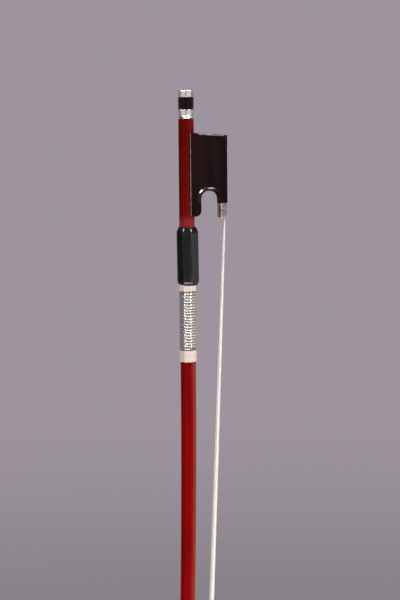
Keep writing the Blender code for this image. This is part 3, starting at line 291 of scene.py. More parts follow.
class BowColours(bpy.types.PropertyGroup):
    """Colours of the finishes, as linear light."""

    wood_upper: bpy.props.FloatVectorProperty(
        name="Handle", description="Varnish beside the frog", subtype="COLOR", size=3,
        min=0.0, max=1.0, default=(0.185, 0.0022, 0.0016))
    wood_lower: bpy.props.FloatVectorProperty(
        name="Shaft", description="Varnish below the winding", subtype="COLOR", size=3,
        min=0.0, max=1.0, default=(0.255, 0.0002, 0.0002))
    ebony: bpy.props.FloatVectorProperty(
        name="Ebony", description="Frog and button band", subtype="COLOR", size=3,
        min=0.0, max=1.0, default=(0.0066, 0.0013, 0.0015))
    silver: bpy.props.FloatVectorProperty(
        name="Silver", description="Mounts and winding", subtype="COLOR", size=3,
        min=0.0, max=1.0, default=(0.70, 0.655, 0.63))
    silk: bpy.props.FloatVectorProperty(
        name="Silk", description="Cream whipping", subtype="COLOR", size=3,
        min=0.0, max=1.0, default=(0.775, 0.635, 0.56))
    hair: bpy.props.FloatVectorProperty(
        name="Hair", description="Bleached horsehair", subtype="COLOR", size=3,
        min=0.0, max=1.0, default=(1.0, 0.92, 0.84))
    leather: bpy.props.FloatVectorProperty(
        name="Leather", description="Thumb leather", subtype="COLOR", size=3,
        min=0.0, max=1.0, default=(0.0020, 0.0013, 0.0014))
    backdrop: bpy.props.FloatVectorProperty(
        name="Backdrop", description="Background level with the frog", subtype="COLOR", size=3,
        min=0.0, max=1.0, default=(0.338, 0.297, 0.342))


class Wire:
    """An output socket of a node; Python's operators on it add Math nodes."""

    def __init__(self, bench, socket):
        self.bench = bench
        self.socket = socket

    def math(self, operation, first, second):
        """Adds one Math node."""
        return self.bench.add("Math", {"operation": operation}, {0: first, 1: second})

    def __add__(self, other):
        return self.math("ADD", self, other)

    def __radd__(self, other):
        return self.math("ADD", other, self)

    def __sub__(self, other):
        return self.math("SUBTRACT", self, other)

    def __rsub__(self, other):
        return self.math("SUBTRACT", other, self)

    def __mul__(self, other):
        return self.math("MULTIPLY", self, other)

    def __rmul__(self, other):
        return self.math("MULTIPLY", other, self)

    def __truediv__(self, other):
        return self.math("DIVIDE", self, other)

    def __rtruediv__(self, other):
        return self.math("DIVIDE", other, self)


class Bench:
    """Makes the nodes of one material or world."""

    def __init__(self, tree):
        self.tree = tree

    def add(self, kind, settings=None, inputs=None, output=0):
        """Adds a node: its settings first, then its sockets' values or links; gives one output."""
        node = self.tree.nodes.new("ShaderNode" + kind)
        for key, value in (settings or {}).items():
            setattr(node, key, value)
        for key, value in (inputs or {}).items():
            if isinstance(value, Wire):
                self.tree.links.new(value.socket, node.inputs[key])
            else:
                node.inputs[key].default_value = value
        return Wire(self, node.outputs[output])

    def axes(self, place):
        """The three coordinates of a place."""
        node = self.add("SeparateXYZ", None, {0: place}).socket.node
        return [Wire(self, node.outputs[i]) for i in range(3)]

    def step(self, value, low, high, start=0.0, end=1.0):
        """A smooth step of a value between two limits."""
        settings = {"interpolation_type": "SMOOTHSTEP", "clamp": True}
        values = {"Value": value, "From Min": low, "From Max": high, "To Min": start, "To Max": end}
        return self.add("MapRange", settings, values)

    def blend(self, share, first, second):
        """Mixes two colours."""
        values = {0: share, 6: first, 7: second}
        return self.add("Mix", {"data_type": "RGBA"}, values, output=2)


class Finish(Bench):
    """The bench of one material, whose patterns lie on Object coordinates, the bow's own metres."""

    def __init__(self, name):
        self.made = bpy.data.materials.new("bow_" + name)
        self.made.use_nodes = True
        super().__init__(self.made.node_tree)
        self.place = self.add("TexCoord", output="Object")

    def noise(self, factors, detail=4.0):
        """Soft noise with this many features per metre along each axis."""
        where = self.add("VectorMath", {"operation": "MULTIPLY"}, {0: self.place, 1: factors})
        values = {"Vector": where, "Scale": 1.0, "Detail": detail, "Roughness": 0.55}
        return self.add("TexNoise", None, values)

    def bump(self, height, distance, strength):
        """A bump of this height in metres."""
        values = {"Height": height, "Distance": distance, "Strength": strength}
        return self.add("Bump", None, values)

    def done(self, colour, rough, relief=None, **values):
        """Links what varies to the Principled shader and sets what is the same all over.

        The names of values are the shader's own, with _ for a space.
        """
        shader = self.made.node_tree.nodes["Principled BSDF"]
        values.update(Base_Color=colour, Roughness=rough)
        if relief is not None:
            values["Normal"] = relief
        for name, value in values.items():
            socket = shader.inputs[name.replace("_", " ")]
            if isinstance(value, Wire):
                self.tree.links.new(value.socket, socket)
            else:
                socket.default_value = value
        return self.made


def tone(colour, gain=1.0):
    """A colour property as the four numbers of a colour socket."""
    return (*[min(channel * gain, 1.0) for channel in colour], 1.0)


def varnished_wood(colours):
    """Red-brown varnish over straight grain: streaks along the stick, dark pores, a clear coat.

    A painted sheen makes the shaft's hair side paler, and the varnish is paler just below the frog.
    """
    made = Finish("varnished_wood")
    x, _, z = made.axes(made.place)
    streak = made.noise((330.0, 330.0, 7.0), 3.0)
    figure = made.noise((90.0, 90.0, 26.0), 3.0)
    pores = made.step(made.noise((2600.0, 2600.0, 190.0), 2.0), 0.66, 0.74)
    lower = made.step(z, -0.02, -0.07)
    base = made.blend(lower, tone(colours.wood_upper), tone(colours.wood_lower))
    dark = made.blend(lower, tone(colours.wood_upper, 0.55), tone(colours.wood_lower, 0.72))
    wood = made.blend(made.step(streak * 0.5 + figure * 0.5, 0.36, 0.62), dark, base)
    along = (CAMBER_Z - z) / (CAMBER_Z - HEAD_REAR_Z)
    centre = -CAMBER_DEPTH * along * along * made.step(z, CAMBER_Z, CAMBER_Z - 0.004)
    shaft = made.step(z, HEAD_REAR_Z + 0.01, HEAD_REAR_Z + 0.05)
    # Painted sheen: the shaft's hair-side facets are painted a paler orange, standing in for light
    # from the right reflected in them.
    painted_sheen_side = made.step(x - centre, 0.0024, 0.0031) * lower * shaft
    sheen_and_pale_patch = made.blend(painted_sheen_side * 0.55, wood, (0.40, 0.045, 0.018, 1.0))
    # The varnish is paler in a band round the stick just below the frog.
    pale_patch = made.step(z, 0.0045, -0.0005) * made.step(z, -0.012, -0.006)
    sheen_and_pale_patch = made.blend(pale_patch * 0.4, sheen_and_pale_patch, (0.34, 0.050, 0.036, 1.0))
    colour = made.blend(pores * 0.55, sheen_and_pale_patch, (0.02, 0.004, 0.003, 1.0))
    relief = made.bump(streak * 0.7 - pores * 0.6, 0.00003, 0.35)
    return made.done(colour, made.step(figure, 0.3, 0.7, 0.26, 0.38), relief,
                     Coat_Weight=0.4, Coat_Roughness=0.08, Specular_IOR_Level=0.02)


def ebony(colours, name="ebony", coat=0.75):
    """Near-black ebony with faint reddish grain along the frog, polished by use."""
    made = Finish(name)
    grain = made.noise((900.0, 900.0, 24.0), 5.0)
    broad = made.noise((160.0, 160.0, 10.0), 3.0)
    reddish = made.step(grain * 0.5 + broad * 0.5, 0.46, 0.62)
    colour = made.blend(reddish, tone(colours.ebony), tone(colours.ebony, 2.1))
    pore = made.step(made.noise((3200.0, 3200.0, 160.0), 1.0), 0.66, 0.74)
    relief = made.bump(grain - pore * 0.8, 0.00002, 0.25)
    return made.done(colour, made.step(broad, 0.3, 0.7, 0.20, 0.32), relief,
                     Specular_IOR_Level=0.1, Coat_Weight=coat, Coat_Roughness=0.11)


def satin_ebony(colours):
    """The button's ebony, which is dulled by handling."""
    return ebony(colours, "satin_ebony", 0.02)


def silver(colours, name="silver", scratch=(300.0, 300.0, 4200.0), rough_low=0.20, rough_high=0.36,
           metallic=1.0, gain=1.0):
    """Worn silver: hairline scratches, a little tarnish in patches."""
    made = Finish(name)
    lines = made.noise(scratch, 3.0)
    patch = made.noise((420.0, 420.0, 420.0))
    tarnish = made.step(patch, 0.45, 0.72) * 0.45
    colour = made.blend(tarnish, tone(colours.silver, gain), (0.56, 0.48, 0.44, 1.0))
    rough = made.step(lines * 0.6 + patch * 0.4, 0.35, 0.65, rough_low, rough_high)
    return made.done(colour, rough, made.bump(lines, 0.000008, 0.35), Metallic=metallic)


def lining_silver(colours):
    """The lining's silver, its colour darkened all over: a painted dark reflection along the thin
    lip that shows.
    """
    return silver(colours, "lining_silver", (300.0, 300.0, 300.0), 0.30, 0.45, 0.9, 0.40)


def tinsel(colours):
    """The bright drawn silver of the winding, with fine scratches."""
    return silver(colours, "tinsel", (900.0, 900.0, 5200.0), 0.22, 0.34, 0.74, 0.88)


def ferrule_silver(colours):
    """The ferrule's silver: a painted brown reflection where it arches into the throat, a painted
    pink highlight along its corner.
    """
    made = Finish("ferrule_silver")
    x = made.axes(made.place)[0]
    lines = made.noise((500.0, 500.0, 3600.0))
    patch = made.noise((520.0, 520.0, 520.0), 5.0)
    tarnish = made.step(patch, 0.4, 0.7) * 0.5
    plain = made.blend(tarnish, tone(colours.silver, 0.52), (0.25, 0.21, 0.20, 1.0))
    corner = FERRULE_LOW.x + ARCH_RISE
    # Painted reflection: the arch into the throat is painted brown, standing in for the red stick
    # and the ebony reflected in it.
    brown = made.step(x, corner + 0.0003, corner - 0.0001)
    colour = made.blend(brown * 0.85, plain, (0.22, 0.115, 0.095, 1.0))
    # Painted highlight: a pink line along the corner, standing in for a lamp's warm glint on the
    # edge.
    inner = made.step(x, corner - 0.0002, corner + 0.0001)
    painted_highlight_edge = inner * made.step(x, corner + 0.0007, corner + 0.0003)
    colour = made.blend(painted_highlight_edge * 0.95, colour, (1.0, 0.52, 0.46, 1.0))
    rough = made.step(lines * 0.6 + patch * 0.4, 0.35, 0.65, 0.22, 0.42)
    relief = made.bump(lines * 0.5 + patch * 0.5, 0.00003, 0.35)
    return made.done(colour, rough, relief, Metallic=0.7)


def steel(colours):
    """Turned steel, with rings of fine tool marks."""
    made = Finish("steel")
    marks = made.noise((80.0, 80.0, 6000.0), 2.0)
    patch = made.noise((500.0, 500.0, 500.0))
    colour = made.blend(patch, (0.40, 0.40, 0.41, 1.0), (0.52, 0.52, 0.52, 1.0))
    rough = made.step(marks, 0.3, 0.7, 0.22, 0.4)
    return made.done(colour, rough, made.bump(marks, 0.00001, 0.4), Metallic=1.0)


def brass(colours):
    """Plain brass, browned in patches and bright between them."""
    made = Finish("brass")
    patch = made.noise((700.0, 700.0, 700.0))
    browned = made.step(patch, 0.4, 0.7)
    colour = made.blend(browned, (0.70, 0.47, 0.17, 1.0), (0.38, 0.22, 0.08, 1.0))
    return made.done(colour, made.step(patch, 0.3, 0.7, 0.24, 0.45), Metallic=1.0)


def pearl(colours):
    """Mother-of-pearl: pale, with slow drifts of pink and green under a clear surface."""
    made = Finish("pearl")
    drift = made.step(made.noise((260.0, 260.0, 120.0), 3.0), 0.35, 0.65)
    ripple = made.noise((900.0, 900.0, 300.0))
    pink = made.blend(drift, (0.72, 0.70, 0.66, 1.0), (0.78, 0.62, 0.64, 1.0))
    colour = made.blend(made.step(ripple, 0.45, 0.7), pink, (0.55, 0.72, 0.66, 1.0))
    rough = made.step(ripple, 0.3, 0.7, 0.12, 0.28)
    return made.done(colour, rough, made.bump(ripple, 0.00002, 0.3),
                     Coat_Weight=0.7, Coat_Roughness=0.05, IOR=1.6)


def bone(colours):
    """Polished bone with short dark pores along its length."""
    made = Finish("bone")
    cloud = made.noise((300.0, 300.0, 120.0), 3.0)
    pore = made.step(made.noise((2400.0, 2400.0, 260.0), 1.0), 0.68, 0.76)
    clouded = made.step(cloud, 0.3, 0.7)
    colour = made.blend(clouded, (0.80, 0.75, 0.64, 1.0), (0.70, 0.62, 0.50, 1.0))
    colour = made.blend(pore * 0.5, colour, (0.35, 0.28, 0.2, 1.0))
    relief = made.bump(pore, 0.00002, -0.3)
    return made.done(colour, made.step(cloud, 0.3, 0.7, 0.3, 0.42), relief, IOR=1.5)


def cream_silk(colours):
    """Silk thread: fine twist across each ridge, a soft sheen, a few darker turns."""
    made = Finish("cream_silk")
    turns = made.step(made.noise((60.0, 60.0, 2600.0), 2.0), 0.35, 0.65)
    fibre = made.noise((5000.0, 5000.0, 9000.0), 2.0)
    colour = made.blend(turns, tone(colours.silk), tone(colours.silk, 0.90))
    colour = made.blend(fibre * 0.15, colour, (0.90, 0.80, 0.73, 1.0))
    rough = made.step(fibre, 0.3, 0.7, 0.34, 0.5)
    return made.done(colour, rough, made.bump(fibre, 0.00002, 0.4),
                     Sheen_Weight=0.1, Coat_Weight=1.0, Coat_IOR=1.6, Coat_Roughness=0.12)


def grey_silk(colours):
    """The darker silk laid between the silver turns."""
    made = Finish("grey_silk")
    fibre = made.noise((3000.0, 3000.0, 5000.0), 2.0)
    colour = made.blend(fibre, (0.10, 0.078, 0.066, 1.0), (0.21, 0.165, 0.140, 1.0))
    rough = made.step(fibre, 0.3, 0.7, 0.5, 0.7)
    return made.done(colour, rough, made.bump(fibre, 0.00002, 0.5), Sheen_Weight=0.2)


def black_leather(colours):
    """Black lizard-grain leather: satin scales, rougher and painted darker in their creases, smooth
    at its ends.
    """
    made = Finish("black_leather")
    z = made.axes(made.place)[2]
    cell = made.add("TexVoronoi", {"feature": "DISTANCE_TO_EDGE"},
                    {"Vector": made.place, "Scale": 1900.0})
    crease = made.step(cell, 0.02, 0.16)
    patch = made.noise((240.0, 240.0, 160.0), 3.0)
    # Painted shade: the colour is darker in the creases between the scales.
    colour = made.blend(crease, tone(colours.leather, 0.6), tone(colours.leather, 1.5))
    upper = made.step(z, LEATHER_HIGH.z - 0.0032, LEATHER_HIGH.z - 0.0022)
    lower = made.step(z, LEATHER_LOW.z + 0.0020, LEATHER_LOW.z + 0.0010)
    crease = crease * (1.0 - upper) * (1.0 - lower)
    rough = made.step(crease * 0.6 + patch * 0.4, 0.25, 0.85, 0.40, 0.20)
    return made.done(colour, rough, made.bump(crease, 0.00004, 0.6),
                     Specular_IOR_Level=0.1, Coat_Weight=0.8, Coat_Roughness=0.16)


def horsehair(colours):
    """Bleached horsehair: ivory, a little deeper from hair to hair."""
    made = Finish("horsehair")
    strand = made.noise((3000.0, 3000.0, 3.0), 2.0)
    deeper = made.step(strand, 0.35, 0.65)
    colour = made.blend(deeper, tone(colours.hair), tone(colours.hair, 0.93))
    return made.done(colour, made.step(strand, 0.3, 0.7, 0.35, 0.5),
                     Sheen_Weight=1.0, Coat_Weight=1.0, Coat_Roughness=0.3)


def maple(colours):
    """Bare maple of the plugs and the wedge."""
    made = Finish("maple")
    grain = made.noise((1200.0, 1200.0, 120.0))
    colour = made.blend(grain, (0.62, 0.45, 0.27, 1.0), (0.44, 0.29, 0.15, 1.0))
    rough = made.step(grain, 0.3, 0.7, 0.5, 0.65)
    return made.done(colour, rough, made.bump(grain, 0.00003, 0.4))


FINISHES = {maker.__name__: maker for maker in (
    varnished_wood, ebony, satin_ebony, silver, lining_silver, tinsel, ferrule_silver, steel, brass,
    pearl, bone, cream_silk, grey_silk, black_leather, horsehair, maple)}


def finish(name):
    """The material of this name, made the first time that it is asked for."""
    return bpy.data.materials.get("bow_" + name) or FINISHES[name](bpy.context.scene.bow_colours)


def around(count):
    """So many equal steps of a full turn, as one row."""
    return np.linspace(0.0, 2 * math.pi, count, endpoint=False)[None, :]


def smooth(share):
    """The smooth step s^2 (3 - 2 s) of a share from 0 to 1."""
    return share * share * (3 - 2 * share)


def sheet_faces(rows, columns, wrap_rows=False):
    """Corner numbers of the quads over a grid of points whose columns, or also rows, join up."""
    r = np.arange(rows if wrap_rows else rows - 1)[:, None]
    c = np.arange(columns)[None, :]
    below = (r + 1) % rows
    beside = (c + 1) % columns
    corners = [r * columns + c, r * columns + beside, below * columns + beside, below * columns + c]
    return np.stack(np.broadcast_arrays(*corners), axis=-1).reshape(-1, 4)


def new_object(name, mesh):
    """Links a mesh as an object at the origin."""
    thing = bpy.data.objects.new(name, mesh)
    bpy.context.scene.collection.objects.link(thing)
    return thing


def closed_piece(name, points, faces):
    """An object over points and faces that close a form, its faces turned outwards and smooth."""
    mesh = bpy.data.meshes.new(name)
    mesh.from_pydata(points.reshape(-1, 3).tolist(), [], faces)
    bm = bmesh.new()
    bm.from_mesh(mesh)
    bmesh.ops.recalc_face_normals(bm, faces=bm.faces)
    bm.to_mesh(mesh)
    bm.free()
    mesh.shade_smooth()
    return new_object(name, mesh)


def skin(name, points, wrap_rows=False):
    """A piece over points[row, column, xyz], closed round its columns, with a face at each end."""
    rows, columns = points.shape[:2]
    faces = sheet_faces(rows, columns, wrap_rows).tolist()
    if not wrap_rows:
        faces.append(list(range(columns)))
        faces.append(list(range((rows - 1) * columns, rows * columns)))
    return closed_piece(name, points, faces)


def sleeve(name, outside, inner_radius, angle):
    """A skin over the outer rings[row, column, xyz], back up along an inner radius."""
    ends = np.array([[outside[-1, 0, 2]], [outside[0, 0, 2]]])
    inside = rings(inner_radius, angle, ends)
    return skin(name, np.concatenate([outside, inside], axis=0), wrap_rows=True)


def prism(name, corners_xz, y_first, y_last):
    """A prism over an outline in XZ, from one y to another."""
    return skin(name, np.array([[(x, y, z) for x, z in corners_xz] for y in (y_first, y_last)]))


def rectangle(low_x, low_z, high_x, high_z):
    """The corners of a rectangle in XZ."""
    return [(low_x, low_z), (high_x, low_z), (high_x, high_z), (low_x, high_z)]


def join_pieces(thing, others):
    """Adds other pieces' meshes to a piece's own and removes them."""
    bm = bmesh.new()
    bm.from_mesh(thing.data)
    for other in others:
        bm.from_mesh(other.data)
        bpy.data.objects.remove(other)
    bm.to_mesh(thing.data)
    bm.free()
    thing.data.shade_smooth()


def cut(thing, cutters):
    """Cuts the cutters out of a piece, applies the result smooth and removes the cutters."""
    for cutter in cutters:
        step = thing.modifiers.new(cutter.name, "BOOLEAN")
        step.operation = "DIFFERENCE"
        step.solver = "EXACT"
        step.object = cutter
    graph = bpy.context.evaluated_depsgraph_get()
    mesh = bpy.data.meshes.new_from_object(thing.evaluated_get(graph))
    thing.modifiers.clear()
    thing.data = mesh
    thing.data.shade_smooth()
    for cutter in cutters:
        bpy.data.objects.remove(cutter)


def keep_edges(thing, degrees=38.0):
    """Marks edges sharper than an angle, and lets large faces set the shading of small ones."""
    thing.data.set_sharp_from_angle(angle=math.radians(degrees))
    step = thing.modifiers.new("weighted_normal", "WEIGHTED_NORMAL")
    step.keep_sharp = True
    step.weight = 80


def join_flat(mesh, degrees=0.3):
    """Merges a mesh's loose points and joins its flat faces."""
    bm = bmesh.new()
    bm.from_mesh(mesh)
    bmesh.ops.remove_doubles(bm, verts=bm.verts, dist=1e-6)
    bmesh.ops.dissolve_limit(bm, angle_limit=math.radians(degrees), verts=bm.verts, edges=bm.edges)
    bm.to_mesh(mesh)
    bm.free()
    mesh.shade_smooth()


def solid_copy(node, name):
    """A copy of a construction solid with its loose triangles merged and flat faces joined."""
    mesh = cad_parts[node].data.copy()
    join_flat(mesh, 0.6)
    return new_object(name, mesh)


def polish(thing, ease, segments=2, degrees=30.0, swell=0.0):
    """Grows a piece by `swell` to close its seating gap, and eases its sharp edges with a bevel."""
    if swell:
        grow = thing.modifiers.new("swell", "DISPLACE")
        grow.mid_level = 0.0
        grow.strength = swell
    bevel = thing.modifiers.new("bevel", "BEVEL")
    bevel.limit_method = "ANGLE"
    bevel.angle_limit = math.radians(degrees)
    bevel.width = ease
    bevel.segments = segments
    bevel.use_clamp_overlap = True
    keep_edges(thing, 50.0)


def place_piece(thing, body, slot, *nodes, look=None):
    """Gives a piece its finish, the body that carries it, and the nodes that it stands for."""
    thing.data.materials.clear()
    thing.data.materials.append(finish(look or slot))
    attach(thing, body)
    if nodes:
        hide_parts(*nodes)


def polished(node, name, body, slot, ease, segments=2, swell=0.0, look=None):
    """A polished copy of a construction solid that stands for it."""
    thing = solid_copy(node, name)
    polish(thing, ease, segments, swell=swell)
    place_piece(thing, body, slot, node, look=look)


def dress(slot, *nodes):
    """Gives construction solids that show as they are a better finish."""
    for node in nodes:
        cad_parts[node].material_slots[0].material = finish(slot)


def octagon_radius(half, angle, corner, turn=0.0):
    """Distance to an octagon of half width `half` whose corners are arcs of radius `corner`.

    Within a facet it is half / cos(angle from the facet's middle); past the facet's flat part it is
    the far crossing of the ray with the corner's circle.
    """
    eighth = math.pi / 8
    off = np.abs((angle - turn + eighth) % (2 * eighth) - eighth)
    centre = (half - corner) / math.cos(eighth)
    flat = half / np.cos(off)
    lag = eighth - off
    inside = np.maximum(corner ** 2 - (centre * np.sin(lag)) ** 2, 0.0)
    curved = centre * np.cos(lag) + np.sqrt(inside)
    return np.where(half * np.tan(off) <= (half - corner) * FACET, flat, curved)


def rings(radius, angle, z):
    """Points at a radius and angle round the stick's axis, at height z; all three are arrays."""
    parts = np.broadcast_arrays(radius * np.cos(angle), radius * np.sin(angle), z)
    return np.stack(parts, axis=-1)


def soften(loops, reach):
    """Rounds the corners of closed loops[row, corner, xyz] in four points each.

    Each corner P becomes P + (1 - s)^2 b + s^2 a for s from 0 to 1, where b and a point to its
    neighbours and are `reach` long, or under half of a shorter side.
    """
    before = np.roll(loops, 1, axis=1) - loops
    after = np.roll(loops, -1, axis=1) - loops
    before *= np.minimum(reach / np.linalg.norm(before, axis=-1, keepdims=True), 0.46)
    after *= np.minimum(reach / np.linalg.norm(after, axis=-1, keepdims=True), 0.46)
    s = np.linspace(0.0, 1.0, 4)[None, None, :, None]
    curve = loops[:, :, None] + before[:, :, None] * (1 - s) ** 2 + after[:, :, None] * s ** 2
    return curve.reshape(len(loops), -1, 3)


def mirrored(side):
    """Closes one side[row, point, xyz] with its mirror image across y = 0."""
    other = side[:, ::-1] * np.array([1.0, -1.0, 1.0])
    return np.concatenate([side, other], axis=1)


def shaft_share(z):
    """How far a height lies from the winding's end, 0, to the head, 1."""
    return np.clip((CAMBER_Z - z) / (CAMBER_Z - HEAD_REAR_Z), 0.0, None)


def centre_x(z):
    """The stick's centreline: straight, then a parabola away from the hair."""
    return -CAMBER_DEPTH * shaft_share(z) ** 2


def stick_half(z):
    """Half the stick's width: the handle's, less a share that grows as a power of the way along."""
    along = np.minimum(shaft_share(z), 1.0)
    return HANDLE_HALF + (NECK_HALF - HANDLE_HALF) * along ** TAPER_POWER


def hair_x(z):
    """The straight line of the hair's middle from the ferrule to the head."""
    slope = (HAIR_MOUTH_X - HAIR_REAR_X) / (FERRULE_LOW.z - HEAD_REAR_Z)
    return HAIR_MOUTH_X + slope * (z - FERRULE_LOW.z)


def head_share(z):
    """How far a height lies from the face plate's rear corner, 0, to the beak, 1."""
    return np.clip((HEAD_REAR_Z - z) / (HEAD_REAR_Z - BEAK_Z), 0.0, 1.0)


def face_x(z):
    """The outside of the face plate: beside the hair, curving back by a cube at the beak."""
    return hair_x(z) - HAIR_END_THICKNESS / 2 - SEAT_GAP - BEAK_RISE * head_share(z) ** 3


def plate_half(z):
    """The face plate's half width, drawn in by a power of the way to the beak."""
    drawn_in = head_share(z) ** PLATE_POINTEDNESS
    return PLATE_HALF_WIDTH + (BEAK_HALF_WIDTH - PLATE_HALF_WIDTH) * drawn_in


def nose_x(z):
    """The head's top line: the stick's back, then the mean of a power and a squared sine."""
    back = centre_x(z) - stick_half(z)
    length = HEAD_REAR_Z - NOSE_SETBACK - BEAK_Z
    share = np.clip((HEAD_REAR_Z - NOSE_SETBACK - z) / length, 0.0, 1.0)
    tip = face_x(BEAK_Z) - WOOD_SETBACK - BEAK_THICKNESS
    fall = (share ** NOSE_POWER + np.sin(share * math.pi / 2) ** 2) / 2
    return back + (tip - back) * fall


def octagon_side(z):
    """One side of the shaft's octagon at each height, seven points from back to hair side."""
    half = stick_half(z)[:, None]
    corner = half * FACET
    x = np.concatenate([-half, -corner, -corner / 2, 0 * half, corner / 2, corner, half], axis=1)
    y = np.concatenate([corner, half, half, half, half, half, corner], axis=1)
    return centre_x(z)[:, None] + x, y


def head_side(z, bottom, full):
    """One side of the head at each height: crest, chamfer, then the cheek out to the plate.

    The cheek is one surface: its half width is a power of the depth below the shoulder, so above
    the plate's corner the throat's curve simply cuts it short at `bottom`, before `full`.
    """
    top = nose_x(z)[:, None]
    half = plate_half(z)[:, None]
    bottom = bottom[:, None]
    full = full[:, None]
    shoulder = CREST_HALF_WIDTH + (half - CREST_HALF_WIDTH) * SHOULDER_SHARE
    shoulder = np.minimum(stick_half(z)[:, None], shoulder)
    cheek_top = np.minimum(top + (full - top) * CREST_SHARE, top + (bottom - top) * 0.42)
    x = cheek_top + (bottom - cheek_top) * np.array(CHEEK_SHARES)[None, :]
    depth = np.clip((x - cheek_top) / (full - cheek_top), 0.0, 1.0)
    y = shoulder + (half - shoulder) * depth ** CHEEK_POWER
    crest = np.minimum(CREST_HALF_WIDTH, half)
    return np.concatenate([top, cheek_top, x], axis=1), np.concatenate([crest, shoulder, y], axis=1)


def stick_loops():
    """Sections of the stick at rising distance from the button: end, handle, shaft, throat, head.

    In the throat the hair side goes out to the head by (1 - cos(turn))^2 while the height follows
    sin(turn), which draws the curve under the head; each section keeps its points at fractions of
    its depth, and these and the widths pass from the octagon to the head by a smooth step. The
    first section is drawn in a little, which eases the stick's end.
    """
    end = np.array([STICK_END_Z, STICK_END_Z - END_EASE])
    handle = np.linspace(STICK_END_Z - HANDLE_START, CAMBER_Z, 12)
    shaft = np.linspace(CAMBER_Z, HEAD_REAR_Z + THROAT_SWEEP, 150)[1:]
    turn = np.linspace(0.0, math.pi / 2, 40)[1:]
    throat = HEAD_REAR_Z + THROAT_SWEEP * (1 - np.sin(turn))
    head = np.linspace(HEAD_REAR_Z, BEAK_Z, 60)[1:]
    plain = np.concatenate([end, handle, shaft])
    z = np.concatenate([plain, throat, head])
    blend = np.concatenate([0 * plain, (1 - np.cos(turn)) ** 2, 1 + 0 * head])
    ease = smooth(np.clip((HEAD_REAR_Z + THROAT_SWEEP - z) / THROAT_SWEEP, 0.0, 1.0)[:, None])
    under = centre_x(z) + stick_half(z)
    face = np.where(z > HEAD_REAR_Z, face_x(HEAD_REAR_Z + 0 * z), face_x(z)) - WOOD_SETBACK
    bottom = under + (face - under) * blend
    octagon_x, octagon_y = octagon_side(z)
    head_x, head_y = head_side(z, bottom, face)
    top = head_x[:, :1]
    depth = bottom[:, None] - top
    share = (octagon_x - octagon_x[:, :1]) / (octagon_x[:, -1:] - octagon_x[:, :1])
    x = top + depth * (share + ((head_x - top) / depth - share) * ease)
    y = octagon_y + (head_y - octagon_y) * ease
    x[0] *= END_SHARE
    y[0] *= END_SHARE
    return mirrored(np.stack([x, y, z[:, None] + 0 * x], axis=-1))


def cheek_y(x):
    """The frog's half width, which widens towards its sole by the square of the distance."""
    return CHEEK_HALF_WIDTH + CHEEK_SPREAD * (x - CHEEK_START_X) ** 2


def throat_cutter(name, side):
    """A cutter for one cheek: the throat's outline, which widens by steps towards the cheek.

    The outline is the arc with its two legs. Round it the size of the cut is a product of two
    smooth steps of the angle (a leg's length counts as arc), and never under a small share, so the
    slopes are the same everywhere. Each row of THROAT_PROFILE is a depth and a growth times this.
    """
    leg = np.linspace(1.0, 0.0, 24, endpoint=False)
    down = THROAT_Z - THROAT_FOOT_Z
    turn = np.linspace(math.pi, 0.0, 90)
    zero = 0 * leg
    x = np.concatenate([zero - 1, np.cos(turn), zero + 1])
    rise = np.concatenate([zero, np.sin(turn), zero])
    drop = np.concatenate([leg * down, 0 * turn, leg[::-1] * down])
    leg_angle = leg * down / THROAT_RADIUS
    angle = np.concatenate([math.pi + leg_angle, turn, -leg_angle[::-1]])
    left = smooth(np.clip((THROAT_LEFT_END - angle) / THROAT_LEFT_FADE, 0.0, 1.0))
    right = smooth(np.clip((angle - THROAT_RIGHT_END) / THROAT_RIGHT_FADE, 0.0, 1.0))
    size = THROAT_LEG_SHARE + (1 - THROAT_LEG_SHARE) * (left * right)[None, :]
    depth = np.array([row[0] for row in THROAT_PROFILE])[:, None] * size
    growth = np.array([row[1] for row in THROAT_PROFILE])[:, None] * size
    outside = 0 * size + THROAT_OUTSIDE
    growth = np.concatenate([growth[:1] + (depth[:1] - outside) / THROAT_OUTER_SLOPE, growth])
    depth = np.concatenate([outside, depth])
    radius = THROAT_RADIUS - THROAT_OVERLAP + growth
    across = THROAT_X + radius * x
    y = side * (cheek_y(across) - depth)
    points = np.stack([across, y, THROAT_Z - drop + radius * rise], axis=-1)
    return skin(name, points)


class BOW_OT_stick(bpy.types.Operator):
    """Makes the octagonal stick with its carved head, mortise, bore and eyelet groove."""

    bl_idname = "bow.make_stick"
    bl_label = "Stick and head"

    def execute(self, context):
        stick = skin("stick_body", soften(stick_loops(), context.scene.bow_sizes.corner))
        rear_z, front_z = PLUG_HIGH.z + SEAT_GAP, KNOT_LOW.z - SEAT_GAP
        pocket = [(PLUG_LOW.x - SEAT_GAP, rear_z), (OUTSIDE_X, rear_z),
                  (OUTSIDE_X, front_z), (KNOT_LOW.x - SEAT_GAP, front_z)]
        wide = PLUG_HIGH.y + SEAT_GAP
        mortise = prism("mortise", pocket, -wide, wide)
        slot = rectangle(EYELET_LOW.x - SEAT_GAP, EYELET_LOW.z - EYELET_ROOM_BELOW,
                         OUTSIDE_X, EYELET_HIGH.z + EYELET_ROOM_ABOVE)
        wide = EYELET_HIGH.y + SEAT_GAP
        groove = prism("groove", slot, -wide, wide)
        angle = around(24)
        ends = np.array([[SCREW_LOW.z - 2 * SEAT_GAP], [STICK_END_Z + CLEAR]])
        bore = skin("bore", rings(SCREW_HIGH.x + BORE_PLAY + 0 * angle, angle, ends))
        cut(stick, [mortise, groove, bore])
        keep_edges(stick, 40.0)
        place_piece(stick, "stick", "varnished_wood", "stick")
        return {"FINISHED"}


class BOW_OT_head(bpy.types.Operator):
    """Makes the head's face plate and liner, and the plug and hair knot behind them."""

    bl_idname = "bow.make_head"
    bl_label = "Head plate"

    def execute(self, context):
        polished("head_face_plate", "face_plate", "stick", "bone", 0.00012, swell=0.00010)
        polished("head_plate_liner", "plate_liner", "stick", "ebony", 0.00004, swell=0.00022)
        polished("head_plug", "tip_plug", "stick", "maple", 0.0001)
        polished("head_hair_knot", "tip_knot", "stick", "horsehair", 0.0002)
        return {"FINISHED"}


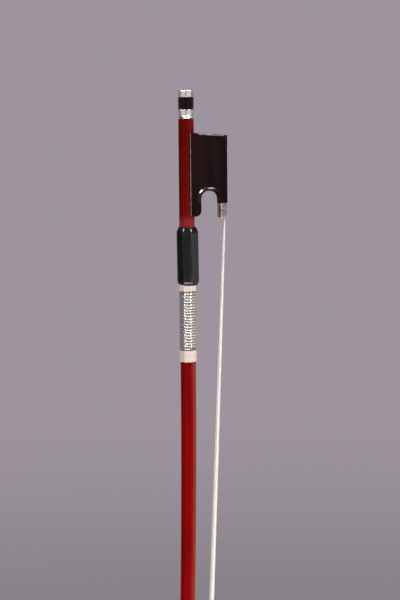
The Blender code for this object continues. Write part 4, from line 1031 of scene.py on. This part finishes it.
class BOW_OT_frog(bpy.types.Operator):
    """Makes the ebony frog with its heel plate, lining, slide, ferrule and inner pieces."""

    bl_idname = "bow.make_frog"
    bl_label = "Frog"

    def execute(self, context):
        self.ebony()
        self.heel()
        self.lining()
        polished("pearl_slide", "pearl_slide_face", "frog", "pearl", 0.0001, swell=0.00012)
        polished("ferrule", "silver_ferrule", "frog", "silver", 0.00015, segments=3,
                 look="ferrule_silver")
        dress("silver", "heel_back_pin_1", "heel_back_pin_2", "heel_sole_pin_1")
        dress("silver", "heel_sole_pin_2", "lining_screw_1", "lining_screw_2")
        dress("brass", "eyelet")
        dress("ebony", "slide_backing")
        dress("maple", "spread_wedge", "frog_plug")
        dress("horsehair", "frog_hair_knot")
        return {"FINISHED"}

    def ebony(self):
        """The frog's block, the edge of its throat sloped towards each cheek."""
        frog = solid_copy("frog", "ebony_frog")
        left = throat_cutter("throat_cutter_left", -1)
        cut(frog, [left, throat_cutter("throat_cutter_right", 1)])
        join_flat(frog.data)
        polish(frog, 0.00045, segments=5, degrees=36.0)
        place_piece(frog, "frog", "ebony", "frog")

    def heel(self):
        """The silver heel plate, its sole let in between two narrow borders of ebony."""
        low_x, low_z = HEEL_LOW.x - CLEAR, HEEL_LOW.z - CLEAR
        high_x, high_z = HEEL_HIGH.x + CLEAR, HEEL_HIGH.z + CLEAR
        leg_x, return_z = HEEL_HIGH.x - HEEL_LEG, HEEL_HIGH.z - HEEL_RETURN
        wide = HEEL_BORDER_Y + HEEL_SPREAD
        plate = solid_copy("heel_plate", "silver_heel")
        side_outline = rectangle(leg_x, low_z, high_x, return_z)
        cut(plate, [prism("heel_side", side_outline, side * HEEL_BORDER_Y, side * wide)
                    for side in (-1, 1)])
        border = solid_copy("heel_plate", "ebony_heel_borders")
        whole_outline = rectangle(low_x, low_z, high_x, high_z)
        cut(border, [prism("heel_middle", whole_outline, -HEEL_BORDER_Y, HEEL_BORDER_Y),
                     prism("heel_top", rectangle(low_x, return_z, high_x, high_z), -wide, wide),
                     prism("heel_back", rectangle(low_x, low_z, leg_x, high_z), -wide, wide)])
        polish(plate, 0.00010, swell=0.00008)
        polish(border, 0.00008, swell=0.00012)
        place_piece(plate, "frog", "silver", "heel_plate")
        place_piece(border, "frog", "ebony")

    def lining(self):
        """The silver lining, with a thin lip that shows along both upper edges of the frog."""
        lining = solid_copy("frog_lining", "silver_lining")
        edge = rectangle(LINING_LOW.x - LIP_THICKNESS, LINING_LOW.z + LIP_SETBACK,
                         LINING_LOW.x, LINING_HIGH.z)
        join_pieces(lining, [prism("lip", edge, side * LIP_INNER_Y, side * LIP_OUTER_Y)
                             for side in (-1, 1)])
        polish(lining, 0.00005)
        place_piece(lining, "frog", "silver", "frog_lining", look="lining_silver")


def button_loops(low, high, ease_low, ease_high):
    """An octagonal drum whose two rims are quarter circles of their own radius."""
    turn = np.linspace(0.0, math.pi / 2, 5)
    z = np.concatenate([low + ease_low * (1 - np.cos(turn)), high - ease_high * (1 - np.sin(turn))])
    inset = np.concatenate([ease_low * (1 - np.sin(turn)), ease_high * (1 - np.cos(turn))])
    angle = around(96)
    radius = octagon_radius(BUTTON_HALF, angle, BUTTON_CORNER, math.pi / 8) - inset[:, None]
    return rings(radius, angle, z[:, None])


class BOW_OT_button(bpy.types.Operator):
    """Makes the adjusting button: silver cap, ebony band, silver collar with its bead."""

    bl_idname = "bow.make_button"
    bl_label = "Button"

    def execute(self, context):
        self.drum("silver_cap", button_loops(CAP_LOW.z, CAP_HIGH.z, RIM_EASE, CAP_DOME),
                  "silver", "button_cap")
        band = button_loops(COLLAR_HIGH.z + SEAT_GAP, CAP_LOW.z - SEAT_GAP, BAND_EASE, BAND_EASE)
        self.drum("ebony_band", band, "ebony", "button_core", look="satin_ebony")
        bead_top = COLLAR_LOW.z + BEAD_HEIGHT
        upper = button_loops(bead_top, COLLAR_HIGH.z, BAND_EASE, RIM_EASE)
        angle = around(96)
        sweep = np.linspace(-math.pi / 2, math.pi / 2, 11)[:, None]
        radius = BUTTON_HALF - BEAD_INSET + BEAD_SWELL * np.cos(sweep) + 0 * angle
        height = (COLLAR_LOW.z + bead_top) / 2 + (bead_top - COLLAR_LOW.z) / 2 * np.sin(sweep)
        collar = np.concatenate([rings(radius, angle, height), upper], axis=0)
        self.drum("silver_collar", collar, "silver", "button_collar")
        dress("steel", "adjuster_screw")
        return {"FINISHED"}

    def drum(self, name, loops, slot, node, look=None):
        """One of the button's pieces, which turns with the screw."""
        piece = skin(name, loops)
        keep_edges(piece)
        place_piece(piece, "screw", slot, node, look=look)


class BOW_OT_leather(bpy.types.Operator):
    """Makes the thumb leather: a scaled sleeve with pared ends and a seam at the back."""

    bl_idname = "bow.make_leather"
    bl_label = "Thumb leather"

    def execute(self, context):
        piece = self.surface(context.scene.bow_sizes)
        keep_edges(piece, 60.0)
        place_piece(piece, "stick", "black_leather", "thumb_leather")
        return {"FINISHED"}

    def surface(self, sizes):
        """An octagon whose half width is pared at each end by (1 - e)^PARE_POWER.

        Here e is how far in a height lies, from 0 at the end to 1 where the paring stops.
        On it stand scales, a product of two cosines whose phases wander, and a seam is sunk as a
        bell curve of the angle. The whole leans a little to the hair side on its way down.
        """
        low, high = LEATHER_LOW.z - LEATHER_LAP, LEATHER_HIGH.z
        z = np.linspace(high, low, 250)[:, None]
        angle = around(300)
        outer, inner = LEATHER_OUTER, LEATHER_INNER
        edge = np.minimum((high - z) / LEATHER_UPPER_PARE, (z - low) / LEATHER_LOWER_PARE)
        pare = 1 - (1 - np.clip(edge, 0.0, 1.0)) ** PARE_POWER
        half = inner + LEATHER_EDGE + (outer - inner - LEATHER_EDGE) * pare
        across = angle * outer / sizes.leather_scale
        along = z / sizes.leather_scale
        wander = 0.7 * np.sin(angle * 3.0 + along * 0.21) + 0.5 * np.sin(angle * 7.0 - along * 0.13)
        scales = np.cos(math.pi * across + wander) * np.cos(math.pi * along + wander * 0.6)
        seam = np.exp(-((angle - SEAM_ANGLE) * outer / SEAM_WIDTH) ** 2)
        radius = octagon_radius(half, angle, LEATHER_END_CORNER + LEATHER_CORNER_GAIN * pare)
        radius = radius + sizes.leather_relief * scales * pare ** 4 - SEAM_DEPTH * seam
        outside = rings(radius, angle, z)
        outside[..., 0] += LEATHER_SHIFT + LEATHER_LEAN * (high - z) / (high - low)
        inside = octagon_radius(inner, angle, LEATHER_INNER_CORNER)
        return sleeve("leather_sleeve", outside, inside, angle)


class BOW_OT_silk(bpy.types.Operator):
    """Makes the two bands of cream silk whipping, one helical ridge for each turn of thread."""

    bl_idname = "bow.make_silk"
    bl_label = "Silk bands"

    def execute(self, context):
        pitch = context.scene.bow_sizes.silk_pitch
        for name, low, high in (("rear", REAR_LOW, REAR_HIGH), ("front", FRONT_LOW, FRONT_HIGH)):
            band = self.whipping(name + "_whipping", low.z, high.z, high.x, pitch)
            keep_edges(band, 80.0)
            place_piece(band, "stick", "cream_silk", name + "_silk_band")
        return {"FINISHED"}

    def whipping(self, name, low, high, outer, pitch):
        """An octagon whose radius dips between turns, by a sine of the helix's phase to a power."""
        count = max(int(round((high - low) / pitch)) * 7, 8)
        z = np.linspace(high, low, count)[:, None]
        angle = around(96)
        turns = (z - low) / pitch + angle / (2 * math.pi)
        edge = np.clip(np.minimum(high - z, z - low) / pitch, 0.0, 1.0)
        ridge = np.abs(np.sin(math.pi * turns)) ** SILK_RIDGE_POWER
        half = outer - SILK_END_DROP * (1 - np.sqrt(edge))
        radius = octagon_radius(half, angle, SILK_CORNER) - SILK_RIDGE * (1 - ridge)
        inner = octagon_radius(SILK_INNER, angle, SILK_INNER_CORNER)
        return sleeve(name, rings(radius, angle, z), inner, angle)


def wound_strip(name, angle, z, floor, width, height):
    """A strip wound on the octagon, along a helix of angle and z.

    Across it, it has a flat base and a crown whose height is the sine of a half turn to a power.
    """
    turn = np.linspace(0.0, math.pi, 7)
    crown = height * np.maximum(np.sin(turn), 0.0) ** CROWN_POWER
    out = np.concatenate([[STRIP_BASE], crown, [STRIP_BASE]])[None, :]
    shift = np.concatenate([[width / 2], width / 2 * np.cos(turn), [-width / 2]])[None, :]
    radius = octagon_radius(floor, angle[:, None], STRIP_CORNER) + out
    points = np.stack([radius * np.cos(angle[:, None]), radius * np.sin(angle[:, None]),
                       z[:, None] + shift], axis=-1)
    return skin(name, points)


class BOW_OT_winding(bpy.types.Operator):
    """Makes the silver winding and the silk that lies between its turns."""

    bl_idname = "bow.make_winding"
    bl_label = "Winding"

    def execute(self, context):
        turns = context.scene.bow_sizes.winding_turns
        low, top = WIRE_LOW.z, WIRE_HIGH.z
        pitch = (top - low - STRIP_WIDTH) / turns
        first = top - STRIP_WIDTH / 2
        a_step = 2 * math.pi / STRIP_STEPS
        angle = np.arange(int(turns * STRIP_STEPS) + 1) * a_step + STRIP_START
        z = first - (angle - STRIP_START) / (2 * math.pi) * pitch
        strip = wound_strip("wound_silver", angle, z, STRIP_FLOOR, STRIP_WIDTH, STRIP_HEIGHT)
        keep_edges(strip, 70.0)
        place_piece(strip, "stick", "silver", "silver_winding", look="tinsel")
        width = pitch - STRIP_WIDTH - THREAD_PLAY
        angle = np.arange(int((turns + THREAD_LEAD) * STRIP_STEPS) + 1) * a_step
        angle = angle + STRIP_START - math.pi * THREAD_LEAD
        z = first - pitch / 2 - (angle - STRIP_START) / (2 * math.pi) * pitch
        z = np.clip(z, low + width / 2, top - width / 2)
        floor = STRIP_FLOOR - THREAD_DROP
        thread = wound_strip("wound_silk", angle, z, floor, width, THREAD_HEIGHT)
        join_pieces(thread, [self.underlay(low, top)])
        keep_edges(thread, 70.0)
        place_piece(thread, "stick", "grey_silk", "silk_thread")
        return {"FINISHED"}

    def underlay(self, low, top):
        """The layer of silk that the strip is wound over, from one cream band to the other."""
        z = np.array([[top + LAYER_LAP], [top + LAYER_SHOULDER], [low - LAYER_SHOULDER],
                      [low - LAYER_LAP]])
        angle = around(96)
        outside = rings(octagon_radius(LAYER_OUTER, angle, LAYER_OUTER_CORNER), angle, z)
        inside = octagon_radius(LAYER_INNER, angle, LAYER_INNER_CORNER)
        return sleeve("layer", outside, inside, angle)


def hair_envelope():
    """The ribbon's height, middle, half width and thickness at each row, from ferrule to head.

    The ribbon narrows in proportion to the way along; its thickness swells as a power of a sine,
    and its last part turns a quarter circle into the head.
    """
    share = np.linspace(0.0, 1.0, HAIR_ROWS)[None, :]
    top = HAIR_HIGH.z + HAIR_LAP
    z = top + (HAIR_LOW.z - top) * share
    half = HAIR_HIGH.y + (PLUG_HIGH.y - HAIR_HIGH.y) * share
    swell = np.maximum(np.sin(math.pi * share), 0.0) ** HAIR_SWELL_POWER
    over_plate = np.clip((z - HEAD_REAR_Z) / THROAT_SWEEP, 0.0, 1.0)
    thick = HAIR_END_THICKNESS + HAIR_SWELL * swell * over_plate
    depth = np.clip((HAIR_LOW.z + HAIR_BEND - z) / HAIR_BEND, 0.0, 1.0)
    middle = hair_x(z) - HAIR_BEND * (1 - np.cos(depth * math.pi / 2))
    return share, z, middle, half, thick


def hair_paths(count):
    """Centre lines of the hairs, [hair, row, xyz]: each keeps a place (u, v) in the oval ribbon.

    A hair wanders from its place by a sine of two to four half turns.
    """
    rng = np.random.default_rng(7)
    u = np.sort(rng.uniform(-1.0, 1.0, count))
    v = rng.uniform(-1.0, 1.0, count) * np.sqrt(np.maximum(1 - u ** 4, 0.05))
    share, z, middle, half, thick = hair_envelope()
    reach = rng.uniform(-1.0, 1.0, (count, 1))
    wander = reach * np.sin(math.pi * share * rng.integers(2, 5, (count, 1)))
    x = middle + (v[:, None] * HAIR_REACH_X + HAIR_WANDER_X * wander) * thick
    y = (u[:, None] * HAIR_REACH_Y + HAIR_WANDER_Y * wander * np.sin(math.pi * share)) * half
    return np.stack([x, y, z + 0 * x], axis=-1)


def hair_core():
    """The ribbon's closed middle, a fluted superellipse just inside the outermost hairs."""
    _, z, middle, half, thick = [part[0] for part in hair_envelope()]
    angle = around(40)
    across = np.sign(np.cos(angle)) * np.abs(np.cos(angle)) ** 0.6
    through = np.sign(np.sin(angle)) * np.abs(np.sin(angle)) ** 0.8
    flutes = 1 + CORE_FLUTE_DEPTH * np.cos(angle * CORE_FLUTES)
    x = middle[:, None] + through * flutes * thick[:, None] * CORE_REACH_X
    y = across * half[:, None] * CORE_REACH_Y
    return skin("hair_core", np.stack([x, y, z[:, None] + 0 * x], axis=-1))


class BOW_OT_hair(bpy.types.Operator):
    """Makes the ribbon of horsehair, every hair a tube of four sides round a closed middle."""

    bl_idname = "bow.make_hair"
    bl_label = "Hair"

    def execute(self, context):
        sizes = context.scene.bow_sizes
        corner = around(4)[0] + math.pi / 4
        section = np.stack([np.cos(corner), np.sin(corner), 0 * corner], axis=-1)
        points = hair_paths(sizes.hair_count)[:, :, None] + section[None, None] * sizes.hair_radius
        ends = np.array([[0, 1, 2, 3], [4 * (HAIR_ROWS - 1) + i for i in range(4)]])
        tube = np.concatenate([sheet_faces(HAIR_ROWS, 4), ends], axis=0)
        offsets = (np.arange(sizes.hair_count) * HAIR_ROWS * 4)[:, None, None]
        ribbon = closed_piece("hair_ribbon", points, (tube[None] + offsets).reshape(-1, 4).tolist())
        join_pieces(ribbon, [hair_core()])
        ribbon.data.materials.append(finish("horsehair"))
        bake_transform(ribbon)
        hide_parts("hair")
        return {"FINISHED"}


def soft_lamp(name, azimuth, height, size, power):
    """A large lamp at an angle from the camera's side of the bow, turned to the origin.

    A glint lamp is a round one that only reflections see.
    """
    glint = name.startswith("glint")
    data = bpy.data.lights.new(name, "AREA")
    data.shape = "ELLIPSE" if glint else "RECTANGLE"
    data.size, data.size_y = size
    data.energy = power
    lamp = new_object(name, data)
    turn = math.radians(azimuth)
    away = Vector((LAMP_DISTANCE * math.sin(turn), -LAMP_DISTANCE * math.cos(turn), height))
    lamp.location = away
    lamp.rotation_euler = away.to_track_quat("Z", "Y").to_euler()
    lamp.visible_camera = False
    lamp.visible_diffuse = not glint


class BOW_OT_stage(bpy.types.Operator):
    """Makes the camera, the floor, the background and the studio's lamps."""

    bl_idname = "bow.make_stage"
    bl_label = "Stage"

    def execute(self, context):
        self.camera(context)
        self.floor()
        self.world(context)
        for lamp in LAMPS:
            soft_lamp(*lamp)
        context.scene.view_settings.view_transform = "Standard"
        return {"FINISHED"}

    def camera(self, context):
        """A camera at the photograph's angle and roll, its lens worked out from the scale."""
        distance = context.scene.bow_sizes.camera_distance
        data = bpy.data.cameras.new("camera")
        data.lens = FOCAL_PIXELS_A_METRE * distance * data.sensor_width / FRAME_HEIGHT
        data.clip_start = 0.05
        camera = new_object("camera", data)
        level = math.cos(CAMERA_ELEVATION)
        back = Vector((math.sin(CAMERA_AZIMUTH) * level, -math.cos(CAMERA_AZIMUTH) * level,
                       math.sin(CAMERA_ELEVATION)))
        right = Vector((0.0, 0.0, 1.0)).cross(back).normalized()
        up = back.cross(right)
        side = right * math.cos(CAMERA_ROLL) + up * math.sin(CAMERA_ROLL)
        top = up * math.cos(CAMERA_ROLL) - right * math.sin(CAMERA_ROLL)
        turned = Matrix((side, top, back)).transposed().to_4x4()
        place = Vector(CAMERA_TARGET) + back * distance
        camera.matrix_world = Matrix.Translation(place) @ turned
        context.scene.camera = camera

    def floor(self):
        """A pale round floor just under the bow's head."""
        angle = around(96)
        radius = np.array([[FLOOR_RADIUS], [FLOOR_RADIUS + 0.005], [FLOOR_RADIUS]])
        z = CAD_LOW.z - FLOOR_DROP + np.array([[0.0], [-0.003], [-0.006]])
        disc = skin("floor", rings(radius + 0 * angle, angle, z))
        made = Finish("floor")
        speck = made.noise((60.0, 60.0, 60.0), 3.0)
        colour = made.blend(speck, (0.62, 0.60, 0.62, 1.0), (0.66, 0.64, 0.66, 1.0))
        disc.data.materials.append(made.done(colour, 0.7))

    def world(self, context):
        """The backdrop for the camera and for reflections, and a plain fill for the rest.

        The backdrop darkens below the bow. Reflections see it dimmer before the bow and at its
        left, as in a studio where a dark room lies behind the camera.
        """
        world = bpy.data.worlds.new("studio")
        world.use_nodes = True
        context.scene.world = world
        tree = world.node_tree
        tree.nodes.clear()
        bench = Bench(tree)
        backdrop = context.scene.bow_colours.backdrop
        x, y, z = bench.axes(bench.add("TexCoord", output="Generated"))
        level = bench.blend(bench.step(z, -0.29, -0.17), tone(backdrop, 0.65), tone(backdrop))
        dim = bench.step(y, -0.9, 0.75, 0.28, 1.0) * bench.step(x, -0.98, -0.80, 0.30, 1.0)
        camera = bench.add("LightPath", output="Is Camera Ray")
        rays = camera.socket.node.outputs
        glossy = Wire(bench, rays["Is Glossy Ray"])
        through = Wire(bench, rays["Is Transmission Ray"])
        seen = bench.blend(dim + (1.0 - dim) * camera, (0.0, 0.0, 0.0, 1.0), level)
        direct = bench.step(camera + glossy + through, 0.4, 0.6)
        white = (1.0, 0.98, 0.99, 1.0)
        fill = bench.add("Background", None, {"Color": white, "Strength": FILL_LEVEL})
        view = bench.add("Background", None, {"Color": seen, "Strength": 1.0})
        mixed = bench.add("MixShader", None, {0: direct, 1: fill, 2: view})
        output = tree.nodes.new("ShaderNodeOutputWorld")
        tree.links.new(mixed.socket, output.inputs["Surface"])


OPERATORS = (BOW_OT_stick, BOW_OT_head, BOW_OT_frog, BOW_OT_button, BOW_OT_leather, BOW_OT_silk,
             BOW_OT_winding, BOW_OT_hair, BOW_OT_stage)


class BOW_PT_panel(bpy.types.Panel):
    """Lists the bow's pieces, sizes and colours in the sidebar."""

    bl_idname = "BOW_PT_panel"
    bl_label = "Violin Bow"
    bl_space_type = "VIEW_3D"
    bl_region_type = "UI"
    bl_category = "Bow"

    def draw(self, context):
        for operator in OPERATORS:
            self.layout.operator(operator.bl_idname)
        for group in (context.scene.bow_sizes, context.scene.bow_colours):
            for name in group.__annotations__:
                self.layout.prop(group, name)


CLASSES = (BowSizes, BowColours, *OPERATORS, BOW_PT_panel)


def register():
    """Registers the classes and hangs the two property groups on the scene."""
    for item in CLASSES:
        bpy.utils.register_class(item)
    bpy.types.Scene.bow_sizes = bpy.props.PointerProperty(type=BowSizes)
    bpy.types.Scene.bow_colours = bpy.props.PointerProperty(type=BowColours)


def unregister():
    """Takes the groups and classes away again."""
    del bpy.types.Scene.bow_colours
    del bpy.types.Scene.bow_sizes
    for item in reversed(CLASSES):
        bpy.utils.unregister_class(item)


def main():
    register()
    bpy.ops.bow.make_stick()
    bpy.ops.bow.make_head()
    bpy.ops.bow.make_frog()
    bpy.ops.bow.make_button()
    bpy.ops.bow.make_leather()
    bpy.ops.bow.make_silk()
    bpy.ops.bow.make_winding()
    bpy.ops.bow.make_hair()
    bpy.ops.bow.make_stage()


if __name__ == "__main__":
    main()
